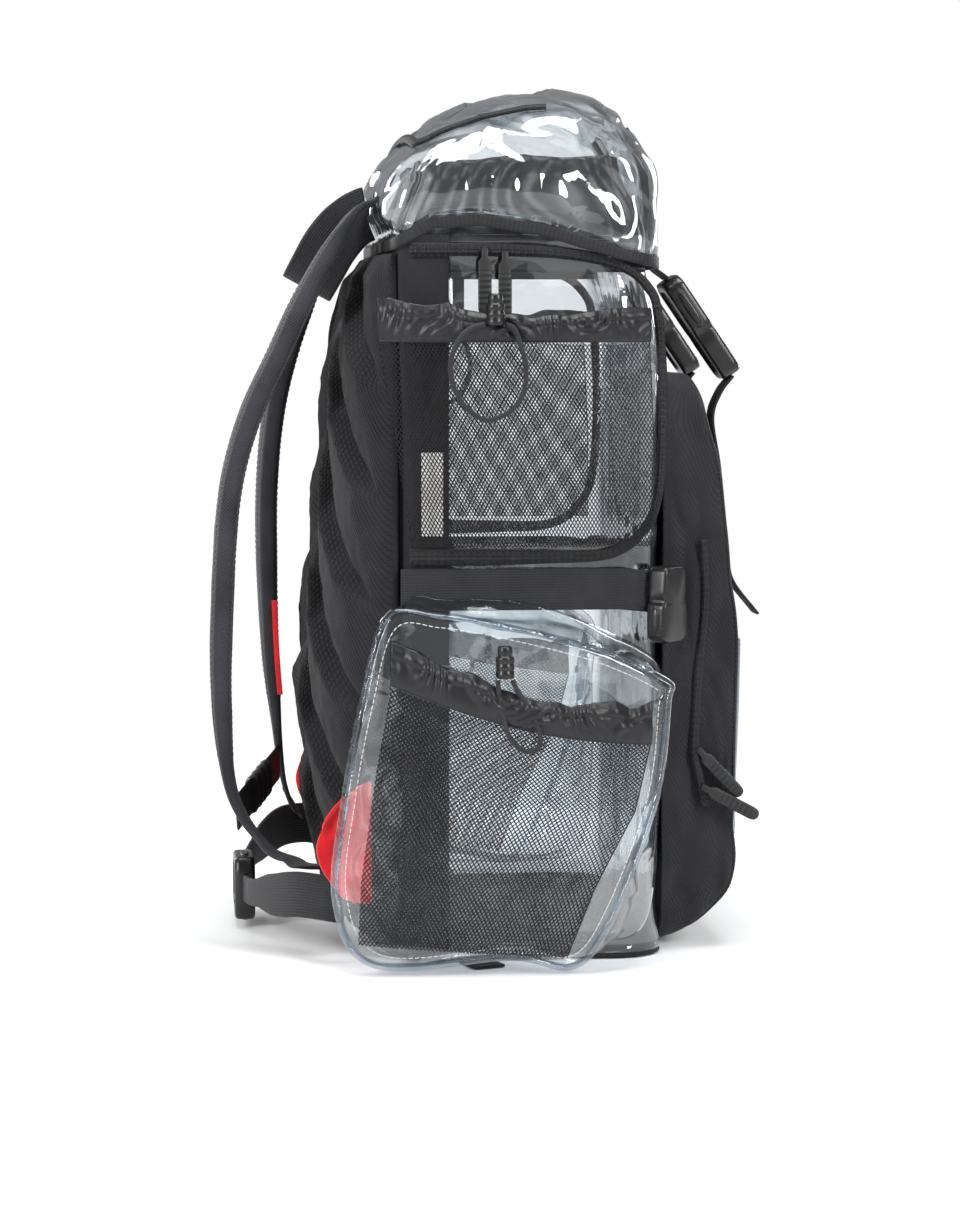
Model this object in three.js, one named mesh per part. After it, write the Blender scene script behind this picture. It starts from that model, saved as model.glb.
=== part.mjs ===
// Clear flap-top rucksack with mesh side pockets, black padded back and webbing.
// Millimetres, +Z up, +Y toward the wearer, -X the wearer's left, Z = 0 the surface it stands on.
import * as THREE from 'three';

// Driving sizes
const BODY_HALF = 150;
const BODY_BACK = 78;
const BODY_FRONT = -84;
const BODY_TOP = 436;
const FRONT_TAPER = 12;
const TAPER_START = BODY_TOP - 66;
const BACK_CORNER = 14;
const FRONT_CORNER = 28;
const CLEAR_WALL = 1.2;
const CLOTH_WALL = 2;
const GAP = 0.3;
const BASE_THICK = 3;
const BACK_RETURN = 30;
const BACK_RISE = 10;
const PAD_BOTTOM = 3;
const PAD_HALF = BODY_HALF - 3;
const PAD_BULGE = 54;
const LOBE_PITCH = 66;
const LOBE_DEPTH = 6;
const LOBE_SLOPE = 0.8;
const COLLAR_TOP = BODY_TOP + 50;
const LID_HALF = BODY_HALF + 6;
const LID_BACK = 80.5;
const LID_FRONT = -80;
const LID_CORNER = 26;
const LID_TALL = 103;
const LID_RIM = BODY_TOP - 12;
const LID_CROWN = LID_RIM + LID_TALL;
const PAD_TOP = LID_RIM + 1;
const LID_ARCH = 25;
const CROWN_FALL = 16;
const BINDING_TALL = 7;
const BINDING_THICK = 2.6;
const ZIP_WIDE = 7;
const ZIP_THICK = 2;
const FRAME_THICK = 3;
const FRAME_WIDE = 5.5;
const FRAME_FOOT_WIDE = 10;
const FRAME_TOP = LID_RIM + 3;
const MESH_WALL = 1;
const UPPER_MESH_TOP = LID_RIM - 52;
const UPPER_MESH_BULGE = 17;
const CUFF_TALL = 22;
const CORD_THICK = 3;
const LOCK_RADIUS = 5.5;
const LOCK_TALL = 19;
const WEBBING = 25;
const WEBBING_THICK = 1.8;
const POCKET_FOOT = 4;
const POCKET_TALL = 216;
const STRAP_TOP = POCKET_FOOT + POCKET_TALL + 17.5;
const FRAME_FOOT = STRAP_TOP + 7;
const POCKET_DEEP = 50;
const POCKET_SPAN = 80;
const PULL_LONG = 40;
const PULL_WIDE = 8;
const PULL_THICK = 3;
const FRONT_HALF = BODY_HALF - 24;
const FRONT_FOOT = 3;
const FRONT_BELOW_LID = 71;
const FRONT_TALL = LID_RIM - FRONT_BELOW_LID - FRONT_FOOT;
const FRONT_DEEP = 48;
const WINDOW_FOOT = 66;
const WINDOW_TALL = 122;
const WINDOW_HALF = 92;
const BUCKLE_LONG = 71;
const BUCKLE_WIDE = 36;
const BUCKLE_THICK = 13;
const BUCKLE_DROP = 59;
const BUCKLE_AWAY = 40.5;
const COMP_BUCKLE_WIDE = 34;
const COMP_BUCKLE_TALL = 46;
const SHOULDER_THICK = 14;
const SHOULDER_WIDE = 64;
const HAUL_HALF = 33;
const HAUL_WEBBING = 34;
const HIP_BUCKLE_LONG = 60;
const HIP_BUCKLE_TALL = 40;
const HIP_REACH = 90;
const STRAP_FOOT = 55;
const STRAP_HANG = LID_RIM + 34 - STRAP_FOOT;
const STRAP_REACH = 105;
const STRAP_SPREAD = 130;
const HAUL_REACH = 63;
const HAUL_DROP = 55;
const HAUL_TOP = LID_RIM + 45;
const LID_STRAP_X = -75;
const UPPER_CORD_OUT = 27.9;
const LOWER_CORD_OUT = 61.9;
const LOCK_OVER_CUFF = 7;
const LOCK_OVER_LOWER_CUFF = 25.57;
const LABEL_WIDE = 13;
const LABEL_TALL = 50;

// Hand-chosen route of the upper drawcord loop, as Y and Z.
const UPPER_CORD_X = -BODY_HALF - GAP - UPPER_CORD_OUT;
const UPPER_CORD = [
  [28.9, 383], [36, 381.5], [44, 375], [49, 363], [49, 352], [45, 341], [39, 333], [29, 327],
  [20, 329], [12, 334], [6, 345], [5, 358], [8, 370], [12, 380.5], [17.1, 383],
];
// Hand-chosen route of the lower drawcord loop, as Y and Z.
const LOWER_CORD_X = -BODY_HALF - GAP - LOWER_CORD_OUT;
const LOWER_CORD = [
  [25, 177], [24, 166], [21.5, 155], [18.5, 144], [13, 137.5], [7, 135], [1.5, 137], [0, 142],
  [2, 151], [7, 161], [13, 170], [16.5, 177],
];

const COLOURS = {
  clear: { color: 0xdfe6ea, roughness: 0.08, metalness: 0, transparent: true, opacity: 0.35 },
  cloth: { color: 0x26262a, roughness: 0.85, metalness: 0 },
  pad: { color: 0x1f1e22, roughness: 0.9, metalness: 0 },
  nylon: { color: 0x343438, roughness: 0.55, metalness: 0 },
  webbing: { color: 0x2b2b30, roughness: 0.8, metalness: 0 },
  plastic: { color: 0x26262a, roughness: 0.45, metalness: 0 },
  net: { color: 0x222226, roughness: 0.8, metalness: 0 },
  red: { color: 0xe8101c, roughness: 0.7, metalness: 0 },
  label: { color: 0xe9e6e2, roughness: 0.8, metalness: 0 },
};

const pack = new THREE.Group();

function add(name, finish, geometry) {
  const mesh = new THREE.Mesh(geometry, new THREE.MeshStandardMaterial(COLOURS[finish]));
  mesh.name = name;
  pack.add(mesh);
  return mesh;
}

const vec = (x, y, z) => new THREE.Vector3(x, y, z);
const mix = (a, b, t) => a + (b - a) * t;
const clamp = (t) => Math.min(1, Math.max(0, t));
const smooth = (a, b, x) => {
  const t = clamp((x - a) / (b - a));
  return t * t * (3 - 2 * t);
};

function fromFaces(points, faces) {
  const geometry = new THREE.BufferGeometry();
  geometry.setAttribute('position', new THREE.Float32BufferAttribute(points.flatMap((p) => [p.x, p.y, p.z]), 3));
  geometry.setIndex(faces.flat());
  geometry.computeVertexNormals();
  return geometry;
}

function mirrored(geometry) {
  const copy = geometry.index ? geometry.toNonIndexed() : geometry.clone();
  const place = copy.getAttribute('position');
  for (let i = 0; i < place.count; i += 3) {
    const corner = [0, 2, 1].map((k) => [-place.getX(i + k), place.getY(i + k), place.getZ(i + k)]);
    corner.forEach(([x, y, z], k) => place.setXYZ(i + k, x, y, z));
  }
  copy.computeVertexNormals();
  return copy;
}

// Both copies of a piece that is made on the wearer's left.
function addPair(name, finish, geometry) {
  add(`${name}_left`, finish, geometry);
  add(`${name}_right`, finish, mirrored(geometry));
}

// A wall of one thickness behind an open surface whose faces look outward.
function thicken(points, faces, wall) {
  const normals = points.map(() => vec(0, 0, 0));
  const edges = new Set();
  for (const [a, b, c] of faces) {
    const flat = points[b].clone().sub(points[a]).cross(points[c].clone().sub(points[a]));
    [a, b, c].forEach((k) => normals[k].add(flat));
    [[a, b], [b, c], [c, a]].forEach(([i, j]) => edges.add(`${i},${j}`));
  }
  const count = points.length;
  const inner = points.map((p, i) => p.clone().addScaledVector(normals[i].normalize(), -wall));
  const sides = [];
  for (const edge of edges) {
    const [a, b] = edge.split(',').map(Number);
    if (!edges.has(`${b},${a}`)) sides.push([b, a, a + count], [b, a + count, b + count]);
  }
  const backs = faces.map(([a, b, c]) => [a + count, c + count, b + count]);
  return fromFaces([...points, ...inner], [...faces, ...backs, ...sides]);
}

// Points at(u, v) on a grid, with u round the piece and v up or inward, and cut(i, j) cells left open.
function sheet({ across, up, closed = false, at, wall, cut = () => false }) {
  const columns = closed ? across : across + 1;
  const points = [];
  for (let j = 0; j <= up; j++) {
    for (let i = 0; i < columns; i++) points.push(at(i / across, j / up));
  }
  const faces = [];
  for (let j = 0; j < up; j++) {
    for (let i = 0; i < across; i++) {
      if (cut(i, j)) continue;
      const a = j * columns + i;
      const b = j * columns + ((i + 1) % columns);
      faces.push([a, b, b + columns], [a, b + columns, a + columns]);
    }
  }
  return thicken(points, faces, wall);
}

// A bowl whose rings run round it and close on one point.
function bowl({ around, rings, ring, pole, wall }) {
  const points = [];
  for (let j = 0; j < rings; j++) {
    for (let i = 0; i < around; i++) points.push(ring(i / around, j / rings));
  }
  points.push(pole);
  const faces = [];
  for (let j = 0; j < rings; j++) {
    for (let i = 0; i < around; i++) {
      const a = j * around + i;
      const b = j * around + ((i + 1) % around);
      if (j === rings - 1) faces.push([a, b, points.length - 1]);
      else faces.push([a, b, b + around], [a, b + around, a + around]);
    }
  }
  return thicken(points, faces, wall);
}

// A solid through rings of equal point counts, capped at both ends unless it closes on itself.
function loft(rings, closed = false) {
  const n = rings[0].length;
  const faces = [];
  const last = closed ? rings.length : rings.length - 1;
  for (let j = 0; j < last; j++) {
    const from = j * n;
    const to = ((j + 1) % rings.length) * n;
    for (let i = 0; i < n; i++) {
      const k = (i + 1) % n;
      faces.push([from + i, from + k, to + k], [from + i, to + k, to + i]);
    }
  }
  if (!closed) {
    const end = (rings.length - 1) * n;
    for (let i = 1; i < n - 1; i++) {
      faces.push([0, i + 1, i], [end, end + i, end + i + 1]);
    }
  }
  const points = rings.flat();
  const shape = fromFaces(points, faces);
  return volume(points, faces) < 0 ? fromFaces(points, faces.map(([a, b, c]) => [a, c, b])) : shape;
}

function volume(points, faces) {
  return faces.reduce((sum, [a, b, c]) => sum + points[a].dot(points[b].clone().cross(points[c])) / 6, 0);
}

// Directions of travel at each point of a route.
function headings(route, closed = false) {
  const n = route.length;
  return route.map((_, i) => {
    const before = closed ? route[(i + n - 1) % n] : route[Math.max(0, i - 1)];
    const after = closed ? route[(i + 1) % n] : route[Math.min(n - 1, i + 1)];
    return after.clone().sub(before).normalize();
  });
}

// A flat band along a route: its width lies along wide(i), its thickness across both.
function band({ route, wide, width, thick, closed = false, round = 0 }) {
  const along = headings(route, closed);
  const rings = route.map((p, i) => {
    const w = wide(i).clone().normalize();
    const t = along[i].clone().cross(w).normalize();
    const half = (typeof width === 'function' ? width(i) : width) / 2;
    const deep = (typeof thick === 'function' ? thick(i) : thick) / 2;
    const corners = round > 0
      ? [[1, -0.4], [1, 0.4], [1 - round, 1], [round - 1, 1], [-1, 0.4], [-1, -0.4], [round - 1, -1], [1 - round, -1]]
      : [[1, -1], [1, 1], [-1, 1], [-1, -1]];
    return corners.map(([a, b]) => p.clone().addScaledVector(w, a * half).addScaledVector(t, b * deep));
  });
  return loft(rings, closed);
}

// Evenly spaced points on a smooth curve through chosen ones.
function curve(points, steps, closed = false) {
  const line = new THREE.CatmullRomCurve3(points, closed, 'catmullrom', 0.5);
  return closed ? line.getSpacedPoints(steps).slice(0, -1) : line.getSpacedPoints(steps);
}

// Value in a named column of a table at one place of its first column, with straight steps between rows.
function look(table, key, column, at) {
  const rising = table[0][key] < table[table.length - 1][key];
  const rows = rising ? table : [...table].reverse();
  if (at <= rows[0][key]) return rows[0][column];
  for (let i = 1; i < rows.length; i++) {
    if (at > rows[i][key]) continue;
    const t = (at - rows[i - 1][key]) / (rows[i][key] - rows[i - 1][key]);
    return mix(rows[i - 1][column], rows[i][column], t);
  }
  return rows[rows.length - 1][column];
}

// A rectangle with round corners, walked counter-clockwise from the middle of its high side.
function roundBox(half, high, low, highCorner, lowCorner) {
  const path = new THREE.Path();
  path.moveTo(0, high);
  path.lineTo(highCorner - half, high);
  path.absarc(highCorner - half, high - highCorner, highCorner, Math.PI / 2, Math.PI, false);
  path.absarc(lowCorner - half, low + lowCorner, lowCorner, Math.PI, 1.5 * Math.PI, false);
  path.absarc(half - lowCorner, low + lowCorner, lowCorner, 1.5 * Math.PI, 2 * Math.PI, false);
  path.absarc(half - highCorner, high - highCorner, highCorner, 0, Math.PI / 2, false);
  path.lineTo(0, high);
  return path;
}

// Body: a rounded box whose front leans back a little near the top.
const bodyFront = (z) => BODY_FRONT + FRONT_TAPER * smooth(TAPER_START, BODY_TOP, z);

// Point on the body's outline, a distance along it from the middle of the back.
function bodyPoint(distance, z) {
  const outline = roundBox(BODY_HALF, BODY_BACK, bodyFront(z), BACK_CORNER, FRONT_CORNER);
  const length = outline.getLength();
  const p = outline.getPointAt(clamp(((distance + length) % length) / length));
  return vec(p.x, p.y, z);
}

const bodyLength = (z) => roundBox(BODY_HALF, BODY_BACK, bodyFront(z), BACK_CORNER, FRONT_CORNER).getLength();
const BACK_REACH = BODY_HALF - BACK_CORNER + (Math.PI / 2) * BACK_CORNER + BACK_RETURN - BACK_CORNER;
const WALL_FOOT = BASE_THICK + GAP;
const SHELL_ROWS = [0, 0.42, 0.85, 0.93, 1];

// Distance from the middle of the back to the welded seam where a side panel's corner meets the front panel.
const frontSeam = (z) => {
  const corners = (Math.PI / 2) * (BACK_CORNER + FRONT_CORNER);
  return BODY_HALF + BODY_BACK - 2 * BACK_CORNER - bodyFront(z) - FRONT_CORNER + corners;
};

function bodyPanel(across, from, to) {
  return sheet({
    across,
    up: SHELL_ROWS.length - 1,
    wall: CLEAR_WALL,
    at: (u, v) => {
      const z = mix(WALL_FOOT, BODY_TOP, SHELL_ROWS[Math.round(v * (SHELL_ROWS.length - 1))]);
      return bodyPoint(mix(from(z), to(z), u), z);
    },
  });
}

const bodySide = () => bodyPanel(12, () => BACK_REACH + GAP, (z) => frontSeam(z) - GAP / 2);
const bodyFrontPanel = () => bodyPanel(4, (z) => frontSeam(z) + GAP / 2, (z) => bodyLength(z) - frontSeam(z) - GAP / 2);

function backPanel() {
  return sheet({
    across: 14,
    up: 3,
    wall: CLOTH_WALL,
    at: (u, v) => {
      const p = bodyPoint(mix(-BACK_REACH, BACK_REACH, u), WALL_FOOT);
      const top = BODY_TOP + BACK_RISE * smooth(BODY_HALF, BODY_HALF / 2, Math.abs(p.x));
      return vec(p.x, p.y, mix(WALL_FOOT, top, v));
    },
  });
}

function basePanel() {
  const outline = roundBox(BODY_HALF, BODY_BACK, BODY_FRONT, BACK_CORNER, FRONT_CORNER);
  const edge = outline.getSpacedPoints(40).slice(0, -1);
  return new THREE.ExtrudeGeometry(new THREE.Shape(edge), { depth: BASE_THICK, bevelEnabled: false });
}

// Back pad: outward bulge as a share of PAD_BULGE at shares of the pad's height.
const PAD_PROFILE = [
  { high: 0.00, out: 0.30 },
  { high: 0.03, out: 0.62 },
  { high: 0.10, out: 0.84 },
  { high: 0.22, out: 0.95 },
  { high: 0.36, out: 1.00 },
  { high: 0.54, out: 0.86 },
  { high: 0.70, out: 0.72 },
  { high: 0.86, out: 0.60 },
  { high: 0.97, out: 0.36 },
  { high: 1.00, out: 0.22 },
];

function padOut(x, z) {
  const high = (z - PAD_BOTTOM) / (PAD_TOP - PAD_BOTTOM);
  const side = Math.abs(x) / PAD_HALF;
  const crown = Math.pow(Math.max(0, 1 - side ** 3.2), 0.62) * (1 - 0.16 * Math.exp(-((x / 26) ** 2)));
  const phase = ((z + LOBE_SLOPE * Math.abs(x)) / LOBE_PITCH) % 1;
  const lobe = LOBE_DEPTH * (Math.sqrt(Math.max(0, phase)) * (1 - smooth(0.86, 1, phase)) - 0.75);
  const edge = smooth(1, 0.8, side) * smooth(0, 0.04, high) * smooth(1, 0.94, high);
  return 3 + (PAD_BULGE * look(PAD_PROFILE, 'high', 'out', high) - 3) * crown + lobe * edge;
}

function backPad() {
  const rows = 25;
  const across = 14;
  const back = BODY_BACK + GAP;
  const rings = [];
  for (let j = 0; j <= rows; j++) {
    const z = mix(PAD_BOTTOM, PAD_TOP, j / rows);
    const narrow = 1 - 0.05 * smooth(0.7, 1, j / rows) - 0.04 * smooth(0.08, 0, j / rows);
    const ring = [];
    for (let i = 0; i <= across; i++) {
      const x = -PAD_HALF * narrow * Math.sin((Math.PI / 2) * (1 - (2 * i) / across));
      ring.push(vec(x, back + padOut(x / narrow, z), z));
    }
    ring.push(vec(PAD_HALF * narrow, back, z), vec(0, back, z), vec(-PAD_HALF * narrow, back, z));
    rings.push(ring);
  }
  return loft(rings);
}

// Collar: a cloth sleeve that stands out of the body and is drawn in and creased at its top.
function collar() {
  const inset = CLOTH_WALL + 2.2;
  const foot = BODY_TOP - 22;
  return sheet({
    across: 30,
    up: 3,
    closed: true,
    wall: CLOTH_WALL,
    at: (u, v) => {
      const z = mix(foot, COLLAR_TOP, v);
      const draw = 1 - 0.2 * smooth(0.3, 1, v);
      const front = bodyFront(foot + 22 * v) + inset;
      const p = roundBox(BODY_HALF - inset, BODY_BACK - inset, front, BACK_CORNER, FRONT_CORNER).getPointAt(u);
      const crease = 1 - 0.035 * v * (1 + Math.sin(u * Math.PI * 2 * 10));
      return vec(p.x * draw * crease, p.y * draw * crease, z);
    },
  });
}

// Lid: a boxy dome, open below, whose side edges rise in an arch.
// Height of the side edge as shares of LID_ARCH above LID_RIM, from front to back.
const ARCH = [
  { along: 0.00, rise: 0.00 },
  { along: 0.16, rise: 0.20 },
  { along: 0.45, rise: 0.76 },
  { along: 0.69, rise: 1.00 },
  { along: 0.86, rise: 0.92 },
  { along: 0.95, rise: 0.62 },
  { along: 1.00, rise: 0.42 },
];
// Height of the crown from front to back, as shares of the way from LID_RIM to LID_CROWN.
const CROWN = [
  { along: 0.00, high: 0.76 },
  { along: 0.09, high: 0.86 },
  { along: 0.22, high: 0.96 },
  { along: 0.36, high: 1.00 },
  { along: 0.50, high: 0.98 },
  { along: 0.66, high: 0.92 },
  { along: 0.82, high: 0.83 },
  { along: 1.00, high: 0.68 },
];
const lidAlong = (y) => clamp((y - LID_FRONT) / (LID_BACK - LID_FRONT));
const lidRim = (y) => LID_RIM + LID_ARCH * look(ARCH, 'along', 'rise', lidAlong(y));

function lidPoint(u, v, out = 0) {
  const turn = (v * Math.PI) / 2;
  const inward = Math.cos(turn) ** 0.3;
  const climb = Math.sin(turn) ** 0.85;
  const outline = roundBox(LID_HALF + out, LID_BACK + out, LID_FRONT - out, BACK_CORNER + 2, LID_CORNER);
  const rim = outline.getPointAt(u);
  const middle = (LID_BACK + LID_FRONT) / 2;
  const x = rim.x * inward;
  const y = middle + (rim.y - middle) * inward + 7 * climb * (1 - climb) * 4 * smooth(middle, LID_BACK, rim.y);
  const high = look(CROWN, 'along', 'high', lidAlong(y));
  const crown = mix(LID_RIM, LID_CROWN, high) - CROWN_FALL * (x / LID_HALF) ** 2;
  const foot = lidRim(rim.y);
  return vec(x, y, mix(foot, crown + out, climb));
}

const LID_STEPS = 36;
const SEAM = 0.5;

function lidShell() {
  return bowl({
    around: LID_STEPS,
    rings: 6,
    wall: CLEAR_WALL,
    ring: (u, v) => lidPoint(u, v),
    pole: lidPoint(0, 0.9999),
  });
}

function lidBinding() {
  const route = [];
  for (let i = 0; i < LID_STEPS; i++) {
    const p = lidPoint(i / LID_STEPS, 0, -CLEAR_WALL / 2);
    route.push(vec(p.x, p.y, p.z - SEAM - GAP - BINDING_TALL / 2));
  }
  return band({ route, wide: () => vec(0, 0, 1), width: BINDING_TALL, thick: BINDING_THICK, closed: true });
}

// The lid's zip runs along the upper edge from one side, round the back, to the other.
function lidZip() {
  const route = [];
  const away = [];
  for (let i = 0; i <= 26; i++) {
    const u = mix(-0.27, 0.27, i / 26);
    const s = u < 0 ? 1 + u : u;
    const out = GAP + ZIP_THICK / 2 + 0.3;
    const p = lidPoint(s, 0.5, out);
    const q = lidPoint(s, 0.62, out);
    route.push(p);
    away.push(q.sub(p));
  }
  return band({ route, wide: (i) => away[i], width: ZIP_WIDE, thick: ZIP_THICK });
}

const WALL_X = -BODY_HALF - GAP;

// Side frame: a zip tape in a C on the side wall, with its foot wider than its top.
const FRAME_ROUTE = [
  { along: 0.96, high: 1.00, wide: 1.5 },
  { along: 0.70, high: 1.00, wide: 1.4 },
  { along: 0.40, high: 0.99, wide: 1.25 },
  { along: 0.17, high: 0.95, wide: 1 },
  { along: 0.06, high: 0.88, wide: 1 },
  { along: 0.02, high: 0.78, wide: 1 },
  { along: 0.00, high: 0.50, wide: 1 },
  { along: 0.015, high: 0.22, wide: 1 },
  { along: 0.07, high: 0.09, wide: 1.1 },
  { along: 0.20, high: 0.01, wide: 1.5 },
  { along: 0.45, high: 0.00, wide: 1.8 },
  { along: 0.96, high: 0.00, wide: 1.8 },
];

const FRAME_STEPS = 26;

function zipFrame() {
  const front = BODY_FRONT + 3.5;
  const x = WALL_X - FRAME_THICK / 2;
  const chosen = FRAME_ROUTE.map(({ along: a, high }) => vec(x, mix(front, BODY_BACK, a), mix(FRAME_FOOT, FRAME_TOP, high)));
  const route = curve(chosen, FRAME_STEPS);
  const shares = FRAME_ROUTE.map((r, k) => ({ k: k / (FRAME_ROUTE.length - 1), wide: r.wide }));
  const along = headings(route);
  return band({
    route,
    wide: (i) => vec(1, 0, 0).cross(along[i]),
    width: (i) => Math.min(FRAME_FOOT_WIDE, FRAME_WIDE * look(shares, 'k', 'wide', i / FRAME_STEPS)),
    thick: FRAME_THICK,
  });
}

// Upper mesh pocket: hangs on the side wall, its top drawn out by the cuff.
const UPPER_EDGES = [
  { high: 0, back: 0.93, front: 0.02 },
  { high: 0.5, back: 0.99, front: 0.02 },
  { high: 1, back: 1.05, front: 0.04 },
];

function upperMesh(u, v, out = 0) {
  const back = mix(BODY_FRONT + 3, BODY_BACK + 4, look(UPPER_EDGES, 'high', 'back', v));
  const front = mix(BODY_FRONT + 6, BODY_BACK, look(UPPER_EDGES, 'high', 'front', v));
  const bulge = UPPER_MESH_BULGE * (0.35 + 0.65 * v) * Math.sin(Math.PI * u) ** 0.7;
  const x = WALL_X - FRAME_THICK - GAP - MESH_WALL - bulge - out;
  return vec(x, mix(back, front, u), mix(FRAME_FOOT + FRAME_FOOT_WIDE / 2 + 1.2, UPPER_MESH_TOP, v));
}

// Cells with both indices odd are cut through.
const net = (i, j) => i % 2 === 1 && j % 2 === 1;

function meshUpper() {
  return sheet({ across: 9, up: 7, wall: MESH_WALL, cut: net, at: (u, v) => upperMesh(u, v) });
}

function cuffUpper() {
  return sheet({
    across: 16,
    up: 2,
    wall: CLOTH_WALL,
    at: (u, v) => {
      const p = upperMesh(u, 1, 1 + 1.5 * Math.sin(u * Math.PI * 7) * v);
      const foot = UPPER_MESH_TOP + GAP;
      return vec(p.x, p.y, foot + v * (CUFF_TALL + 1.6 * Math.sin(u * Math.PI * 6)));
    },
  });
}

// Outer face of the lower pocket: nearly flat, falling back toward the wall at its edges.
function pocketFaceX(y, z) {
  const acrossShare = Math.abs(y - 20) / 100;
  const upShare = Math.abs(z - POCKET_FOOT - POCKET_TALL / 2) / (POCKET_TALL / 2);
  const deep = POCKET_DEEP * (1 - 0.22 * acrossShare ** 3 - 0.12 * upShare ** 3);
  return WALL_X - WEBBING_THICK - 2 * GAP - deep;
}

// Outline of the lower pocket, walked from its front top corner along the top to the back and down:
// where it meets the wall and where its outer face turns, as shares of POCKET_SPAN and POCKET_TALL.
const POCKET_OUTLINE = [
  { wallY: -0.98, wallZ: 0.81, faceY: -0.97, faceZ: 0.78 },
  { wallY: -0.50, wallZ: 0.92, faceY: -0.45, faceZ: 0.87 },
  { wallY: 0.05, wallZ: 0.99, faceY: 0.28, faceZ: 0.94 },
  { wallY: 0.60, wallZ: 1.00, faceY: 0.75, faceZ: 0.97 },
  { wallY: 0.93, wallZ: 0.99, faceY: 1.10, faceZ: 0.965 },
  { wallY: 0.94, wallZ: 0.75, faceY: 1.28, faceZ: 0.74 },
  { wallY: 0.94, wallZ: 0.47, faceY: 1.41, faceZ: 0.475 },
  { wallY: 0.94, wallZ: 0.20, faceY: 1.48, faceZ: 0.19 },
  { wallY: 0.92, wallZ: 0.03, faceY: 1.20, faceZ: 0.015 },
  { wallY: 0.20, wallZ: 0.03, faceY: 0.20, faceZ: 0.035 },
  { wallY: -0.50, wallZ: 0.03, faceY: -0.27, faceZ: 0.005 },
  { wallY: -0.88, wallZ: 0.08, faceY: -0.54, faceZ: 0.13 },
  { wallY: -0.98, wallZ: 0.35, faceY: -0.88, faceZ: 0.46 },
  { wallY: -0.98, wallZ: 0.62, faceY: -0.975, faceZ: 0.73 },
];
const pocketY = (share) => share * POCKET_SPAN;
const pocketZ = (share) => POCKET_FOOT + share * POCKET_TALL;

function lowerPocket() {
  const count = 24;
  const wallX = WALL_X - WEBBING_THICK - 2 * GAP;
  const wall = curve(POCKET_OUTLINE.map((r) => vec(wallX, pocketY(r.wallY), pocketZ(r.wallZ))), count, true);
  const face = curve(POCKET_OUTLINE.map((r) => vec(wallX, pocketY(r.faceY), pocketZ(r.faceZ))), count, true);
  const centre = vec(0, pocketY(0.225), pocketZ(0.4444));
  return bowl({
    around: count,
    rings: 5,
    wall: CLEAR_WALL,
    ring: (u, v) => {
      const i = Math.round(u * count);
      const rim = face[i].clone();
      rim.x = pocketFaceX(rim.y, rim.z);
      if (v < 0.5) return wall[i].clone().lerp(rim, v * 2.5);
      const q = v < 0.7 ? 0.66 : 0.33;
      const p = vec(0, mix(centre.y, rim.y, q), mix(centre.z, rim.z, q));
      p.x = pocketFaceX(p.y, p.z);
      return p;
    },
    pole: vec(pocketFaceX(centre.y, centre.z), centre.y, centre.z),
  });
}

// Lower mesh and its cuff lie over the outer face: edges as shares of POCKET_SPAN and POCKET_TALL.
const LOWER_EDGES = [
  { high: 0.00, backY: 1.32, frontY: -0.22, backZ: 0.07, frontZ: 0.03 },
  { high: 0.25, backY: 1.30, frontY: -0.42, backZ: 0.25, frontZ: 0.22 },
  { high: 0.60, backY: 1.20, frontY: -0.72, backZ: 0.52, frontZ: 0.43 },
  { high: 1.00, backY: 1.08, frontY: -0.84, backZ: 0.78, frontZ: 0.61 },
];
const SAG = 0.035;

function lowerMesh(u, v, out = 0) {
  const row = (column) => look(LOWER_EDGES, 'high', column, v);
  const y = pocketY(mix(row('backY'), row('frontY'), u));
  const z = pocketZ(mix(row('backZ'), row('frontZ'), u) - SAG * v * Math.sin(Math.PI * u));
  const bulge = 0.3 + 5 * Math.sin(Math.PI * u) ** 0.6 * (0.3 + 0.7 * v);
  return vec(pocketFaceX(y, z) - MESH_WALL - bulge - out, y, z);
}

function meshLower() {
  return sheet({ across: 9, up: 7, wall: MESH_WALL, cut: net, at: (u, v) => lowerMesh(u, v) });
}

function cuffLower() {
  return sheet({
    across: 16,
    up: 2,
    wall: CLOTH_WALL,
    at: (u, v) => {
      const p = lowerMesh(u, 1, 1 + 1.5 * Math.sin(u * Math.PI * 7) * v);
      return vec(p.x, p.y - 2 * v, p.z + GAP + 0.2 + v * (CUFF_TALL + 2 * Math.sin(u * Math.PI * 6)));
    },
  });
}

// Where the locks stand on their cuffs: the lower cuff's foot there is a share of POCKET_TALL.
const UPPER_LOCK_Y = 23;
const LOWER_LOCK_Y = 20.8;
const LOWER_LOCK_SEAT = 0.6733;

// Cord lock: a barrel with a narrower button above it.
function cordLock(x, y, top) {
  const r = LOCK_RADIUS;
  const profile = [[0, -LOCK_TALL], [r, -LOCK_TALL], [r, -6], [r * 0.8, -5], [r * 0.8, -1], [r * 0.6, 0], [0, 0]];
  const lock = new THREE.LatheGeometry(profile.map(([a, b]) => new THREE.Vector2(a, b)), 10);
  lock.rotateX(Math.PI / 2);
  lock.translate(x, y, top);
  return lock;
}

function cord(points, x) {
  const line = new THREE.CatmullRomCurve3(points.map(([y, z]) => vec(x, y, z)));
  const section = new THREE.Shape();
  section.absarc(0, 0, CORD_THICK / 2, 0, Math.PI * 2);
  const steps = Math.round(line.getLength() / (2.9 * CORD_THICK));
  return new THREE.ExtrudeGeometry(section, { curveSegments: 4, steps, extrudePath: line, bevelEnabled: false });
}

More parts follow.
